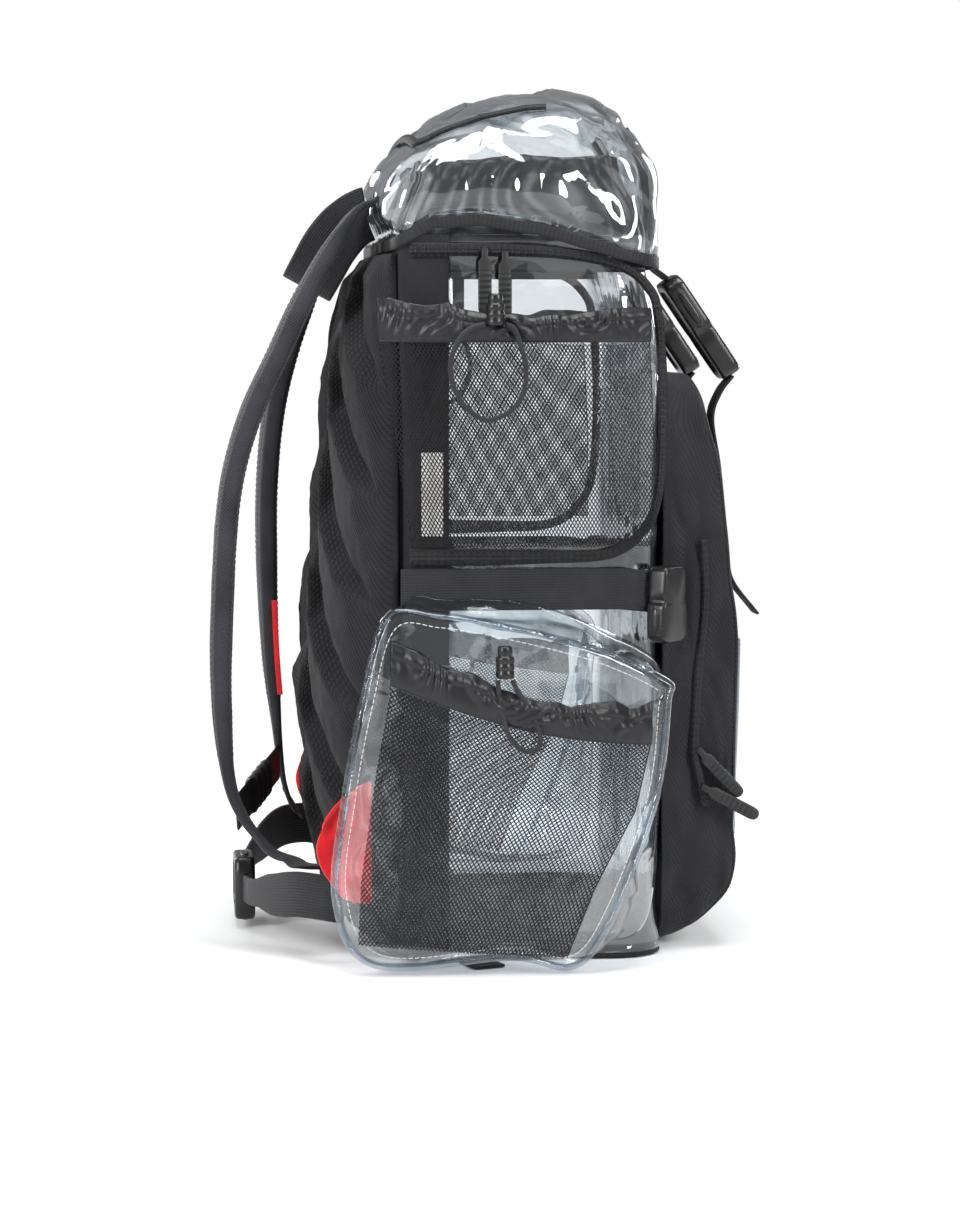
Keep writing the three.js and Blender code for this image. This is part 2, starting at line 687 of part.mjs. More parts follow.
// Zip pull: a flat moulded tag with a narrower neck, hung from its top.
function zipPull(long, wide, thick) {
  const outline = [[-0.25, 0], [-0.25, -0.12], [-0.5, -0.2], [-0.5, -0.94], [-0.36, -1], [0.36, -1], [0.5, -0.94],
    [0.5, -0.2], [0.25, -0.12], [0.25, 0]];
  const shape = new THREE.Shape(outline.map(([a, b]) => new THREE.Vector2(a * wide, b * long)));
  const pull = new THREE.ExtrudeGeometry(shape, { depth: thick, bevelEnabled: false });
  pull.rotateX(Math.PI / 2);
  pull.rotateZ(Math.PI / 2);
  return pull;
}

// Side pulls hang on the frame's top, with their flat face outward.
function sidePull(y, top) {
  const pull = zipPull(PULL_LONG, PULL_WIDE, PULL_THICK);
  pull.translate(WALL_X - FRAME_THICK - GAP - PULL_THICK, y, top);
  return pull;
}

// Pulls of the front pocket's side zip swing forward by an angle from hanging. out and high are shares of
// FRONT_DEEP and FRONT_TALL.
function frontPull(out, high, swing, layer) {
  const pull = zipPull(PULL_LONG, PULL_WIDE, PULL_THICK);
  pull.rotateX(-swing);
  const x = 3.6 - FRONT_HALF - layer * (GAP + PULL_THICK);
  pull.translate(x, BODY_FRONT - FRONT_DEEP * out, FRONT_FOOT + FRONT_TALL * high);
  return pull;
}

// Buckle: a rounded body with a waist and two side arms in one outline, of one thickness.
const BUCKLE_OUTLINE = [
  [0.30, -0.50], [0.50, -0.42], [0.50, -0.02], [0.42, 0.04], [0.46, 0.16], [0.42, 0.44], [0.30, 0.50],
  [-0.30, 0.50], [-0.42, 0.44], [-0.46, 0.16], [-0.42, 0.04], [-0.50, -0.02], [-0.50, -0.42], [-0.30, -0.50],
];

function buckle(long, wide, thick) {
  const shape = new THREE.Shape(BUCKLE_OUTLINE.map(([a, b]) => new THREE.Vector2(a * wide, b * long)));
  const solid = new THREE.ExtrudeGeometry(shape, {
    depth: thick - 3, bevelEnabled: true, bevelThickness: 1.5, bevelSize: 1.2, bevelOffset: -1.2, bevelSegments: 1,
  });
  solid.translate(0, 0, 1.5 - thick / 2);
  return solid;
}

// Compression strap on the side wall and the buckle at the front corner, BUCKLE_TURN round it.
const BUCKLE_TURN = (50 / 180) * Math.PI;

function compStrap() {
  const middle = STRAP_TOP - WEBBING / 2;
  const x = WALL_X - WEBBING_THICK / 2;
  const reach = BODY_FRONT + FRONT_CORNER;
  const route = [];
  for (let i = 0; i <= 4; i++) route.push(vec(x, mix(BODY_BACK - 1, reach, i / 4), middle));
  for (let i = 1; i <= 4; i++) {
    const turn = (i / 4) * BUCKLE_TURN;
    const r = FRONT_CORNER + GAP + WEBBING_THICK / 2;
    route.push(vec(FRONT_CORNER - BODY_HALF - r * Math.cos(turn), reach - r * Math.sin(turn), middle - 3 * (i / 4)));
  }
  return band({ route, wide: () => vec(0, 0, 1), width: WEBBING, thick: WEBBING_THICK });
}

function compBuckle() {
  const solid = buckle(COMP_BUCKLE_WIDE, COMP_BUCKLE_TALL, BUCKLE_THICK);
  solid.rotateX(Math.PI / 2);
  solid.rotateY(Math.PI / 2);
  solid.rotateZ(BUCKLE_TURN - Math.PI / 2);
  const r = FRONT_CORNER + 2 * GAP + WEBBING_THICK + BUCKLE_THICK / 2 + 0.1;
  const x = FRONT_CORNER - BODY_HALF - r * Math.cos(BUCKLE_TURN);
  const y = BODY_FRONT + FRONT_CORNER - r * Math.sin(BUCKLE_TURN);
  solid.translate(x, y, STRAP_TOP - COMP_BUCKLE_TALL / 2 + 0.5);
  return solid;
}

// Front pocket: profile from foot to top, as shares of FRONT_DEEP and FRONT_TALL.
const FRONT_PROFILE = [
  { high: 0.00, out: 0.30 },
  { high: 0.04, out: 0.62 },
  { high: 0.12, out: 0.96 },
  { high: 0.30, out: 0.96 },
  { high: 0.55, out: 1.00 },
  { high: 0.72, out: 0.90 },
  { high: 0.84, out: 0.76 },
  { high: 0.92, out: 0.60 },
  { high: 1.00, out: 0.54 },
];

function frontOut(z) {
  return FRONT_DEEP * look(FRONT_PROFILE, 'high', 'out', (z - FRONT_FOOT) / FRONT_TALL);
}

function frontPoint(u, share, inward) {
  const top = FRONT_FOOT + FRONT_TALL;
  const p = roundBox(FRONT_HALF - 8 * share, top, FRONT_FOOT, 40, 30).getPointAt(u);
  const middle = (top + FRONT_FOOT) / 2;
  const x = p.x * inward;
  const z = mix(middle, p.y, inward);
  return vec(x, BODY_FRONT - 2 * GAP - SEAM - share * frontOut(z) - 4 * (1 - inward ** 2), z);
}

// Rings of the front pocket: how far each stands out and how far it is drawn to the middle.
const FRONT_RINGS = [
  { out: 0, inward: 1 },
  { out: 0.85, inward: 1 },
  { out: 1, inward: 0.96 },
  { out: 1, inward: 0.66 },
  { out: 1, inward: 0.33 },
];

function frontPocket() {
  const count = FRONT_RINGS.length;
  return bowl({
    around: 28,
    rings: count,
    wall: CLOTH_WALL,
    ring: (u, v) => {
      const { out, inward } = FRONT_RINGS[Math.round(v * count)];
      return frontPoint(u, out, inward);
    },
    pole: frontPoint(0, 1, 0),
  });
}

function frontWindow() {
  return sheet({
    across: 6,
    up: 6,
    wall: 0.8,
    at: (u, v) => {
      const z = WINDOW_FOOT + WINDOW_TALL * v;
      return vec(mix(-WINDOW_HALF, WINDOW_HALF, u), BODY_FRONT - GAP - FRONT_DEEP - 3.2 - 2.5 * v, z);
    },
  });
}

// Lid strap: sewn down the front of the lid, then out to its buckle.
const STRAP_OFF_LID = WEBBING_THICK / 2 + 4 * GAP;
const LID_STRAP_TOP = 0.66;

// Point on the front of the lid at the strap's place across, v of the way up to the crown.
function lidFront(v, out) {
  let low = 0.25;
  let high = 0.5;
  for (let i = 0; i < 14; i++) {
    const middle = (low + high) / 2;
    if (lidPoint(middle, v, out).x < LID_STRAP_X) low = middle;
    else high = middle;
  }
  return lidPoint(low, v, out);
}

const BUCKLE_FROM_Y = LID_FRONT - 13.5;

function lidStrap() {
  const chosen = [0, 0.2, 0.4, 0.6, 0.8, 1].map((t) => lidFront(mix(LID_STRAP_TOP, 0.03, t), STRAP_OFF_LID));
  const out = BINDING_THICK / 2 + STRAP_OFF_LID;
  chosen.push(vec(0, LID_FRONT - out, LID_RIM - BINDING_TALL / 2), vec(0, BUCKLE_FROM_Y + 0.3, LID_RIM - 12.6));
  const route = curve(chosen.map((p) => vec(LID_STRAP_X, p.y, p.z)), 16);
  return band({ route, wide: () => vec(1, 0, 0), width: WEBBING, thick: WEBBING_THICK });
}

const BUCKLE_FROM = vec(LID_STRAP_X, BUCKLE_FROM_Y, LID_RIM - 13);
const BUCKLE_TO = vec(LID_STRAP_X, BUCKLE_FROM_Y - BUCKLE_AWAY, LID_RIM - 13 - BUCKLE_DROP);

function lidBuckle() {
  const along = BUCKLE_TO.clone().sub(BUCKLE_FROM).normalize();
  const solid = buckle(BUCKLE_LONG, BUCKLE_WIDE, BUCKLE_THICK);
  const wide = vec(1, 0, 0);
  const thick = wide.clone().cross(along);
  const place = BUCKLE_FROM.clone().add(BUCKLE_TO).multiplyScalar(0.5);
  solid.applyMatrix4(new THREE.Matrix4().makeBasis(wide, along, thick).setPosition(place));
  return solid;
}

// Lid tail: from the buckle back to the pocket and down to a free tab, as shares of FRONT_DEEP and FRONT_TALL.
const LID_TAIL_ROUTE = [
  { out: 1.051, high: 0.995 },
  { out: 0.917, high: 0.957 },
  { out: 0.833, high: 0.911 },
  { out: 0.979, high: 0.837 },
  { out: 1.156, high: 0.740 },
  { out: 1.219, high: 0.671 },
  { out: 1.333, high: 0.614 },
  { out: 1.521, high: 0.569 },
];

function lidTail() {
  const place = (r) => vec(LID_STRAP_X, BODY_FRONT - FRONT_DEEP * r.out, FRONT_FOOT + FRONT_TALL * r.high);
  return band({ route: curve(LID_TAIL_ROUTE.map(place), 14), wide: () => vec(1, 0, 0), width: WEBBING - 3, thick: WEBBING_THICK });
}

// Shoulder straps, from the top seam to the lower end: centre line as shares of STRAP_SPREAD, STRAP_REACH and
// STRAP_HANG, with shares of the full width and thickness.
const NEAR_STRAP = [
  { side: 0.462, out: 0.101, high: 1.000, wide: 0.70, thick: 0.25 },
  { side: 0.492, out: 0.229, high: 0.973, wide: 0.76, thick: 0.85 },
  { side: 0.554, out: 0.467, high: 0.871, wide: 1.00, thick: 1.00 },
  { side: 0.554, out: 0.657, high: 0.767, wide: 1.00, thick: 1.00 },
  { side: 0.577, out: 0.829, high: 0.670, wide: 1.00, thick: 1.00 },
  { side: 0.585, out: 0.943, high: 0.556, wide: 1.00, thick: 1.00 },
  { side: 0.592, out: 0.990, high: 0.395, wide: 1.00, thick: 1.00 },
  { side: 0.615, out: 1.000, high: 0.241, wide: 0.96, thick: 1.00 },
  { side: 0.677, out: 0.943, high: 0.102, wide: 0.80, thick: 0.90 },
  { side: 0.800, out: 0.762, high: 0.027, wide: 0.55, thick: 0.60 },
  { side: 0.908, out: 0.590, high: 0.005, wide: 0.40, thick: 0.30 },
  { side: 1.000, out: 0.495, high: 0.000, wide: 0.38, thick: 0.15 },
];
const FAR_STRAP = [
  { side: 0.462, out: 0.101, high: 1.000, wide: 0.70, thick: 0.25 },
  { side: 0.492, out: 0.229, high: 0.973, wide: 0.76, thick: 0.85 },
  { side: 0.554, out: 0.410, high: 0.871, wide: 1.00, thick: 1.00 },
  { side: 0.554, out: 0.552, high: 0.767, wide: 1.00, thick: 1.00 },
  { side: 0.577, out: 0.638, high: 0.670, wide: 1.00, thick: 1.00 },
  { side: 0.585, out: 0.681, high: 0.556, wide: 1.00, thick: 1.00 },
  { side: 0.592, out: 0.686, high: 0.434, wide: 1.00, thick: 1.00 },
  { side: 0.615, out: 0.667, high: 0.285, wide: 0.96, thick: 0.90 },
  { side: 0.677, out: 0.629, high: 0.161, wide: 0.80, thick: 0.80 },
  { side: 0.800, out: 0.590, high: 0.072, wide: 0.55, thick: 0.50 },
  { side: 0.908, out: 0.543, high: 0.022, wide: 0.40, thick: 0.30 },
  { side: 1.000, out: 0.495, high: 0.000, wide: 0.38, thick: 0.15 },
];

const STRAP_STEPS = 20;

function shoulderStrap(rows) {
  const place = (r) => vec(-STRAP_SPREAD * r.side, BODY_BACK + STRAP_REACH * r.out, STRAP_FOOT + STRAP_HANG * r.high);
  const route = curve(rows.map(place), STRAP_STEPS);
  const shares = rows.map((r, k) => ({ along: k / (rows.length - 1), wide: r.wide, thick: r.thick }));
  return band({
    route,
    wide: () => vec(1, 0, 0),
    width: (i) => SHOULDER_WIDE * look(shares, 'along', 'wide', i / STRAP_STEPS),
    thick: (i) => SHOULDER_THICK * look(shares, 'along', 'thick', i / STRAP_STEPS),
    round: 0.16,
  });
}

// Haul loop: an arch of webbing that leans out over the wearer's side by HAUL_REACH and down by HAUL_DROP.
const HAUL_LEAN = [
  { out: 0.0, away: 0.149, fall: 0 },
  { out: 0.3, away: 0.365, fall: 0.018 },
  { out: 0.65, away: 0.698, fall: 0.364 },
  { out: 1.0, away: 1, fall: 1 },
];

function haulPoint(out) {
  const away = look(HAUL_LEAN, 'out', 'away', out);
  return vec(0, BODY_BACK + HAUL_REACH * away, HAUL_TOP - HAUL_DROP * look(HAUL_LEAN, 'out', 'fall', out));
}

function haulLoop() {
  const steps = 22;
  const route = [];
  const wide = [];
  for (let i = 0; i <= steps; i++) {
    const turn = (i / steps) * Math.PI;
    const out = Math.sin(turn) ** 0.8;
    const p = haulPoint(out);
    const slope = haulPoint(Math.min(1, out + 0.1)).sub(haulPoint(out - 0.1)).normalize();
    wide.push(vec(0, -slope.z, slope.y));
    p.x = -HAUL_HALF * Math.cos(turn);
    route.push(p.addScaledVector(wide[i], -HAUL_WEBBING / 2));
  }
  return band({ route, wide: (i) => wide[i], width: HAUL_WEBBING, thick: WEBBING_THICK + 0.4 });
}

// Sternum strap: a ribbed slide between the shoulder straps.
function sternumStrap() {
  const place = (side, out, high) => vec(STRAP_SPREAD * side, BODY_BACK + STRAP_REACH * out, STRAP_FOOT + STRAP_HANG * high);
  const from = place(-0.5462, 0.9048, 0.0645);
  const to = place(0.5923, 0.619, 0.0918);
  const steps = 18;
  const route = [];
  for (let i = 0; i <= steps; i++) route.push(from.clone().lerp(to, i / steps));
  return band({
    route,
    wide: () => vec(0, 0, 1),
    width: WEBBING,
    thick: (i) => (i > 5 && i < 13 ? (i % 2 === 0 ? 10 : 5) : 3),
  });
}

// Hip strap: a wide sewn end on the lower corner that narrows to webbing at the buckle. side is a share of
// the way from the buckle to the side wall, and the rest are shares of HIP_REACH, HIP_BUCKLE_TALL and WEBBING.
const HIP_ROUTE = [
  { side: 1.0101, out: 0.356, high: 0.950, wide: 1.10 },
  { side: 1.0038, out: 0.500, high: 1.000, wide: 1.10 },
  { side: 0.8907, out: 0.667, high: 1.000, wide: 1.10 },
  { side: 0.6985, out: 0.800, high: 0.900, wide: 1.00 },
  { side: 0.4472, out: 0.900, high: 0.800, wide: 0.72 },
  { side: 0.2123, out: 0.967, high: 0.700, wide: 0.66 },
  { side: -0.0000, out: 1.000, high: 0.650, wide: 0.66 },
];

function hipStrap() {
  const steps = 10;
  const end = HIP_BUCKLE_LONG / 2 + 2 * GAP;
  const place = (r) => vec(-mix(end, BODY_HALF, r.side), BODY_BACK + HIP_REACH * r.out, HIP_BUCKLE_TALL * r.high);
  const route = curve(HIP_ROUTE.map(place), steps);
  const rows = HIP_ROUTE.map((r, k) => ({ k: k / (HIP_ROUTE.length - 1), wide: r.wide }));
  return band({
    route,
    wide: () => vec(0, 0, 1),
    width: (i) => WEBBING * look(rows, 'k', 'wide', i / steps),
    thick: WEBBING_THICK + 1,
  });
}

function hipBuckle() {
  const solid = buckle(HIP_BUCKLE_LONG, HIP_BUCKLE_TALL, BUCKLE_THICK);
  solid.rotateZ(Math.PI / 2);
  solid.rotateX(Math.PI / 2);
  solid.translate(0, BODY_BACK + HIP_REACH, HIP_BUCKLE_TALL / 2 + 5);
  return solid;
}

// Red wing: a cloth triangle sewn on the side wall that reaches out past the corner to the hip strap.
const WING_START = BODY_BACK - 18;
const WING_END = HIP_REACH * 0.489;

function redWing() {
  return sheet({
    across: 6,
    up: 5,
    wall: CLOTH_WALL,
    at: (u, v) => {
      const y = mix(WING_START, BODY_BACK + WING_END - 12 * Math.abs(2 * v - 1) ** 2, u);
      const low = mix(16, 44, u ** 0.8);
      const high = mix(112, 72, u ** 1.2);
      return vec(WALL_X - 0.05 + 5 * u ** 3, y, mix(low, high, v));
    },
  });
}

// Base tails: short webbing ends that lie on the ground beside the base.
function baseTail() {
  return band({
    route: [0, 1, 2].map((i) => vec(-BODY_HALF - GAP - 12 * i, 34 - 4 * i, WEBBING_THICK / 2 + 0.1)),
    wide: () => vec(0, 1, 0),
    width: 20,
    thick: WEBBING_THICK,
  });
}

function patch(x, y, z, thick, wide, tall) {
  const box = new THREE.BoxGeometry(thick, wide, tall);
  box.translate(x, y, z);
  return box;
}

addPair('body_side', 'clear', bodySide());
add('body_front', 'clear', bodyFrontPanel());
add('back_panel', 'cloth', backPanel());
add('base_panel', 'cloth', basePanel());
add('back_pad', 'pad', backPad());
add('collar', 'nylon', collar());
add('lid_shell', 'clear', lidShell());
add('lid_binding', 'webbing', lidBinding());
add('lid_zip', 'webbing', lidZip());
addPair('lid_strap', 'webbing', lidStrap());
addPair('lid_buckle', 'plastic', lidBuckle());
addPair('lid_tail', 'webbing', lidTail());
add('front_pocket', 'cloth', frontPocket());
add('front_window', 'clear', frontWindow());
addPair('zip_frame', 'webbing', zipFrame());
addPair('mesh_upper', 'net', meshUpper());
addPair('cuff_upper', 'nylon', cuffUpper());
addPair('cord_upper', 'webbing', cord(UPPER_CORD, UPPER_CORD_X));
addPair('lock_upper', 'plastic', cordLock(UPPER_CORD_X, UPPER_LOCK_Y, UPPER_MESH_TOP + CUFF_TALL + LOCK_OVER_CUFF));
addPair('zip_pull_back', 'plastic', sidePull(27, FRAME_TOP + 1));
addPair('zip_pull_front', 'plastic', sidePull(15, FRAME_TOP - 1));
addPair('comp_strap', 'webbing', compStrap());
addPair('comp_buckle', 'plastic', compBuckle());
addPair('lower_pocket', 'clear', lowerPocket());
addPair('mesh_lower', 'net', meshLower());
addPair('cuff_lower', 'nylon', cuffLower());
addPair('cord_lower', 'webbing', cord(LOWER_CORD, LOWER_CORD_X));
const lowerLockTop = pocketZ(LOWER_LOCK_SEAT) + CUFF_TALL + LOCK_OVER_LOWER_CUFF;
addPair('lock_lower', 'plastic', cordLock(LOWER_CORD_X, LOWER_LOCK_Y, lowerLockTop));
add('shoulder_strap_left', 'webbing', shoulderStrap(NEAR_STRAP));
add('shoulder_strap_right', 'webbing', mirrored(shoulderStrap(FAR_STRAP)));
add('haul_loop', 'webbing', haulLoop());
add('sternum_strap', 'plastic', sternumStrap());
addPair('hip_strap', 'webbing', hipStrap());
add('hip_buckle', 'plastic', hipBuckle());
addPair('red_wing', 'red', redWing());
add('front_pull_upper', 'plastic', frontPull(0.479, 0.3457, 0.75, 1));
add('front_pull_lower', 'plastic', frontPull(0.521, 0.28, 1.08, 2));
addPair('base_tail', 'webbing', baseTail());
add('side_label', 'label', patch(WALL_X - 0.5, BODY_BACK - 20, FRAME_FOOT + LABEL_TALL * 0.75, 0.8, LABEL_WIDE, LABEL_TALL));

export default pack;
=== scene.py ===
# %% [markdown]
# # A clear flap-top rucksack
# The pack is a box of clear vinyl on a black padded back, with gathered mesh pockets on both sides, clear
# bellows pockets below them and a black cloth pocket in front. Sizes below are written in millimetres,
# because cloth and webbing are bought that way, and one line turns them to metres when a mesh is made.

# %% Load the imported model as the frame
import math
import bpy
import numpy as np
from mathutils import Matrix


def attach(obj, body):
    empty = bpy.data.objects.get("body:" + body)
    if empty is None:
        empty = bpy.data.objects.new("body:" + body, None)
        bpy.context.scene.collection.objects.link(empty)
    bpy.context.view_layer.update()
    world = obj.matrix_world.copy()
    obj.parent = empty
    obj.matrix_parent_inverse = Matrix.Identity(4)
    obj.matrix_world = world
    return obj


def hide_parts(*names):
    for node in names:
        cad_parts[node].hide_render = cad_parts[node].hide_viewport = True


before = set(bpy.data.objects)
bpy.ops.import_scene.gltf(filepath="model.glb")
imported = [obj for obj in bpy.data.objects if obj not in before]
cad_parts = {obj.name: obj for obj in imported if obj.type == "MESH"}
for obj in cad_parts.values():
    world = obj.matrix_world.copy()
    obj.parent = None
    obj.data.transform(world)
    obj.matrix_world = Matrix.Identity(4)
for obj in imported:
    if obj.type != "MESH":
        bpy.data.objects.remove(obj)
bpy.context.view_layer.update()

MM = 0.001
SIDES = {"left": 1, "right": -1}

# %% [markdown]
# ## Camera
# The photograph was taken from the wearer's left with a long lens, so lines hardly converge. A long lens
# far away, a little behind the pack and a little above its middle, gives the same view.

# %% Camera
AIM = np.array([0.0, 0.015, 0.198])
DISTANCE = 2.1
FOCAL_PIXELS = 3255.0
PHOTO_WIDTH = 960.0
YAW, RISE = math.radians(5.5), math.radians(5.0)
away = np.array([-math.cos(YAW) * math.cos(RISE), math.sin(YAW) * math.cos(RISE), math.sin(RISE)])
camera = bpy.data.objects.new("camera", bpy.data.cameras.new("camera"))
bpy.context.collection.objects.link(camera)
camera.location = (AIM + DISTANCE * away).tolist()
camera.rotation_euler = (math.pi / 2 - RISE, 0, -math.pi / 2 - YAW)
camera.data.sensor_fit = "HORIZONTAL"
camera.data.sensor_width = 36.0
camera.data.lens = FOCAL_PIXELS * camera.data.sensor_width / PHOTO_WIDTH
camera.data.clip_end = 100.0
bpy.context.scene.camera = camera
print("camera", [round(c, 3) for c in camera.location], "lens", round(camera.data.lens, 1))

# %% [markdown]
# ## Helpers for surfaces
# Every shape is a grid of points worked out at once with numpy. These helpers ease between values, make
# repeatable noise and creases, smooth a route, carry a profile along it, and write a mesh.


# %% Numbers
def ease(a, b, x):
    """0 below a, 1 above b, and 3t^2 - 2t^3 between them."""
    t = np.clip((np.asarray(x, float) - a) / (b - a), 0, 1)
    return t * t * (3 - 2 * t)


def noise(u, v, seed=0):
    """Random values at whole numbers of u and v, eased from each to the next, between -1 and 1."""
    table = np.random.default_rng(seed).uniform(-1, 1, (64, 64))
    u, v = np.broadcast_arrays(np.asarray(u, float), np.asarray(v, float))
    i, j = np.floor(u).astype(int), np.floor(v).astype(int)
    a, b = ease(0, 1, u - i), ease(0, 1, v - j)
    low = table[i % 64, j % 64] * (1 - a) + table[(i + 1) % 64, j % 64] * a
    high = table[i % 64, (j + 1) % 64] * (1 - a) + table[(i + 1) % 64, (j + 1) % 64] * a
    return low * (1 - b) + high * b


def crumple(u, v, seed=0, layers=3):
    """Flat facets with sharp folds between them: 1 - 2|noise|, bent by slower noise, at halving sizes."""
    total = 0
    for k in range(layers):
        s = 2.0**k
        bend = 0.8 * noise(u * s * 0.6 + 9.3, v * s * 0.6, seed + 20 + k)
        total = total + (1 - 2 * np.abs(noise(u * s + bend, v * s - bend, seed + k))) / s
    return total


def column(rows, key, at, by="high"):
    """The named column of a table at a place in its first column, with straight steps between rows."""
    xs = np.array([r[by] for r in rows], float)
    ys = np.array([r[key] for r in rows], float)
    order = np.argsort(xs)
    return np.interp(at, xs[order], ys[order])


# %% Routes
def spline(points, count, closed=False):
    """Evenly spaced points on the smooth curve through the given ones: each stretch is the cubic whose
    slope at a point is half the step between that point's neighbours."""
    p = np.asarray(points, float)
    if closed:
        ring = np.concatenate([p[-1:], p, p[:2]])
    else:
        ring = np.concatenate([2 * p[:1] - p[1:2], p, 2 * p[-1:] - p[-2:-1]])
    a, b, c, d = ring[:-3, None], ring[1:-2, None], ring[2:-1, None], ring[3:, None]
    t = np.linspace(0, 1, 24, endpoint=False)[None, :, None]
    dense = 0.5 * (2 * b + (c - a) * t + (2 * a - 5 * b + 4 * c - d) * t**2 + (3 * b - a - 3 * c + d) * t**3)
    dense = dense.reshape(-1, p.shape[1])
    dense = np.concatenate([dense, dense[:1] if closed else p[-1:]])
    run = np.concatenate([[0], np.cumsum(np.linalg.norm(np.diff(dense, axis=0), axis=1))])
    at = np.linspace(0, run[-1], count + 1 if closed else count)
    smooth = np.stack([np.interp(at, run, dense[:, k]) for k in range(p.shape[1])], -1)
    return smooth[:-1] if closed else smooth


def unit(v):
    return v / np.maximum(np.linalg.norm(v, axis=-1, keepdims=True), 1e-9)


def heading(path, closed=False):
    """Direction of travel at each point of a route."""
    if closed:
        return unit(np.roll(path, -1, 0) - np.roll(path, 1, 0))
    return unit(np.gradient(path, axis=0))


def length_along(path):
    return np.concatenate([[0], np.cumsum(np.linalg.norm(np.diff(path, axis=0), axis=1))])


# %% Meshes
def cells(rows, columns, wrap=False, wrap_rows=False):
    """Corner numbers of each cell of a grid of points that is rows by columns."""
    j, i = np.meshgrid(np.arange(rows if wrap_rows else rows - 1),
                       np.arange(columns if wrap else columns - 1), indexing="ij")
    ahead, over = (i + 1) % columns, (j + 1) % rows
    return np.stack([j * columns + i, j * columns + ahead, over * columns + ahead, over * columns + i],
                    -1).reshape(-1, 4)


def piece(name, points, faces, finish, nodes=(), uv=None, mirror=False, smooth=True):
    """One mesh from points in millimetres and one or more arrays of corner numbers. uv is in millimetres
    along the surface. A mirrored piece has its X and the order of its corners turned round."""
    points = np.array(points, float).reshape(-1, 3)
    blocks = [np.asarray(f) for f in (faces if isinstance(faces, list) else [faces])]
    if mirror:
        points = points * [-1, 1, 1]
        blocks = [b[:, ::-1] for b in blocks]
    corners = np.concatenate([b.ravel() for b in blocks])
    counts = np.concatenate([np.full(len(b), b.shape[1]) for b in blocks])
    me = bpy.data.meshes.new(name)
    me.vertices.add(len(points))
    me.vertices.foreach_set("co", (points * MM).astype(np.float32).ravel())
    me.loops.add(len(corners))
    me.loops.foreach_set("vertex_index", corners.astype(np.int32))
    me.polygons.add(len(counts))
    me.polygons.foreach_set("loop_start", (np.cumsum(counts) - counts).astype(np.int32))
    me.polygons.foreach_set("use_smooth", np.full(len(counts), smooth))
    if uv is not None:
        layer = me.uv_layers.new(name="UVMap")
        at = np.asarray(uv, float).reshape(-1, 2) * MM
        layer.data.foreach_set("uv", at[corners].astype(np.float32).ravel())
    me.update(calc_edges=True)
    me.validate()
    ob = bpy.data.objects.new(name, me)
    bpy.context.collection.objects.link(ob)
    me.materials.append(finish)
    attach(ob, "root")
    if nodes:
        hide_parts(*nodes)
    return ob


def wall(ob, thick, offset=-1.0):
    """Gives an open sheet its thickness in millimetres, inwards for offset -1."""
    m = ob.modifiers.new("thickness", "SOLIDIFY")
    m.thickness, m.offset = thick * MM, offset
    m.use_even_offset = False
    return ob


def sheet_uv(points):
    """Distances along the rows and up the columns of a grid of points, in millimetres."""
    across = np.linalg.norm(np.diff(points, axis=1), axis=2)
    up = np.linalg.norm(np.diff(points, axis=0), axis=2)
    u = np.concatenate([np.zeros((len(points), 1)), np.cumsum(across, axis=1)], axis=1)
    v = np.concatenate([np.zeros((1, points.shape[1])), np.cumsum(up, axis=0)], axis=0)
    return np.stack([u, v], -1)


def normals(points):
    """Unit normal at each point of a grid, the cross product of its two directions."""
    return unit(np.cross(np.gradient(points, axis=1), np.gradient(points, axis=0)))


FLAT = np.array([[1, -0.7], [1, 0.7], [0.9, 1], [0.3, 1], [-0.3, 1], [-0.9, 1], [-1, 0.7], [-1, -0.7],
                 [-0.9, -1], [-0.3, -1], [0.3, -1], [0.9, -1]])


def oval(count, square):
    """A ring of count points between a circle (square 1) and a rectangle (square near 0)."""
    t = np.linspace(0, 2 * np.pi, count, endpoint=False)
    return np.stack([np.sign(np.cos(t)) * np.abs(np.cos(t)) ** square,
                     np.sign(np.sin(t)) * np.abs(np.sin(t)) ** square], -1)


def sweep(path, wide, width, thick, profile=FLAT, closed=False):
    """Carries a closed profile along a route: each point is the route's plus a share of the width along
    the wide direction and a share of the thickness square to it. Gives points, faces and uv."""
    path = np.asarray(path, float)
    n, m = len(path), len(profile)
    travel = heading(path, closed)
    wide = np.broadcast_to(np.asarray(wide, float), path.shape)
    wide = unit(wide - travel * np.sum(wide * travel, 1, keepdims=True))
    out = np.cross(travel, wide)
    a = profile[None, :, 0, None] * np.broadcast_to(np.asarray(width, float) / 2, (n,))[:, None, None]
    b = profile[None, :, 1, None] * np.broadcast_to(np.asarray(thick, float) / 2, (n,))[:, None, None]
    points = path[:, None] + a * wide[:, None] + b * out[:, None]
    faces = [cells(n, m, wrap=True, wrap_rows=closed)]
    if not closed:
        faces += [np.arange(m)[::-1][None], (np.arange(m) + (n - 1) * m)[None]]
    edge = np.concatenate([[0], np.cumsum(np.linalg.norm(np.diff(points[n // 2], axis=0), axis=1))])
    uv = np.stack(np.broadcast_arrays(edge[None, :], length_along(path)[:, None]), -1)
    return points, faces, uv


def facing_out(ob):
    """Turns a closed mesh's faces outward if the volume that they enclose comes out negative."""
    me = ob.data
    co = np.empty(len(me.vertices) * 3)
    me.vertices.foreach_get("co", co)
    co = co.reshape(-1, 3)
    me.calc_loop_triangles()
    tri = np.empty(len(me.loop_triangles) * 3, np.int32)
    me.loop_triangles.foreach_get("vertices", tri)
    a, b, c = co[tri.reshape(-1, 3)].transpose(1, 0, 2)
    if np.sum(a * np.cross(b, c)) < 0:
        me.flip_normals()
    return ob

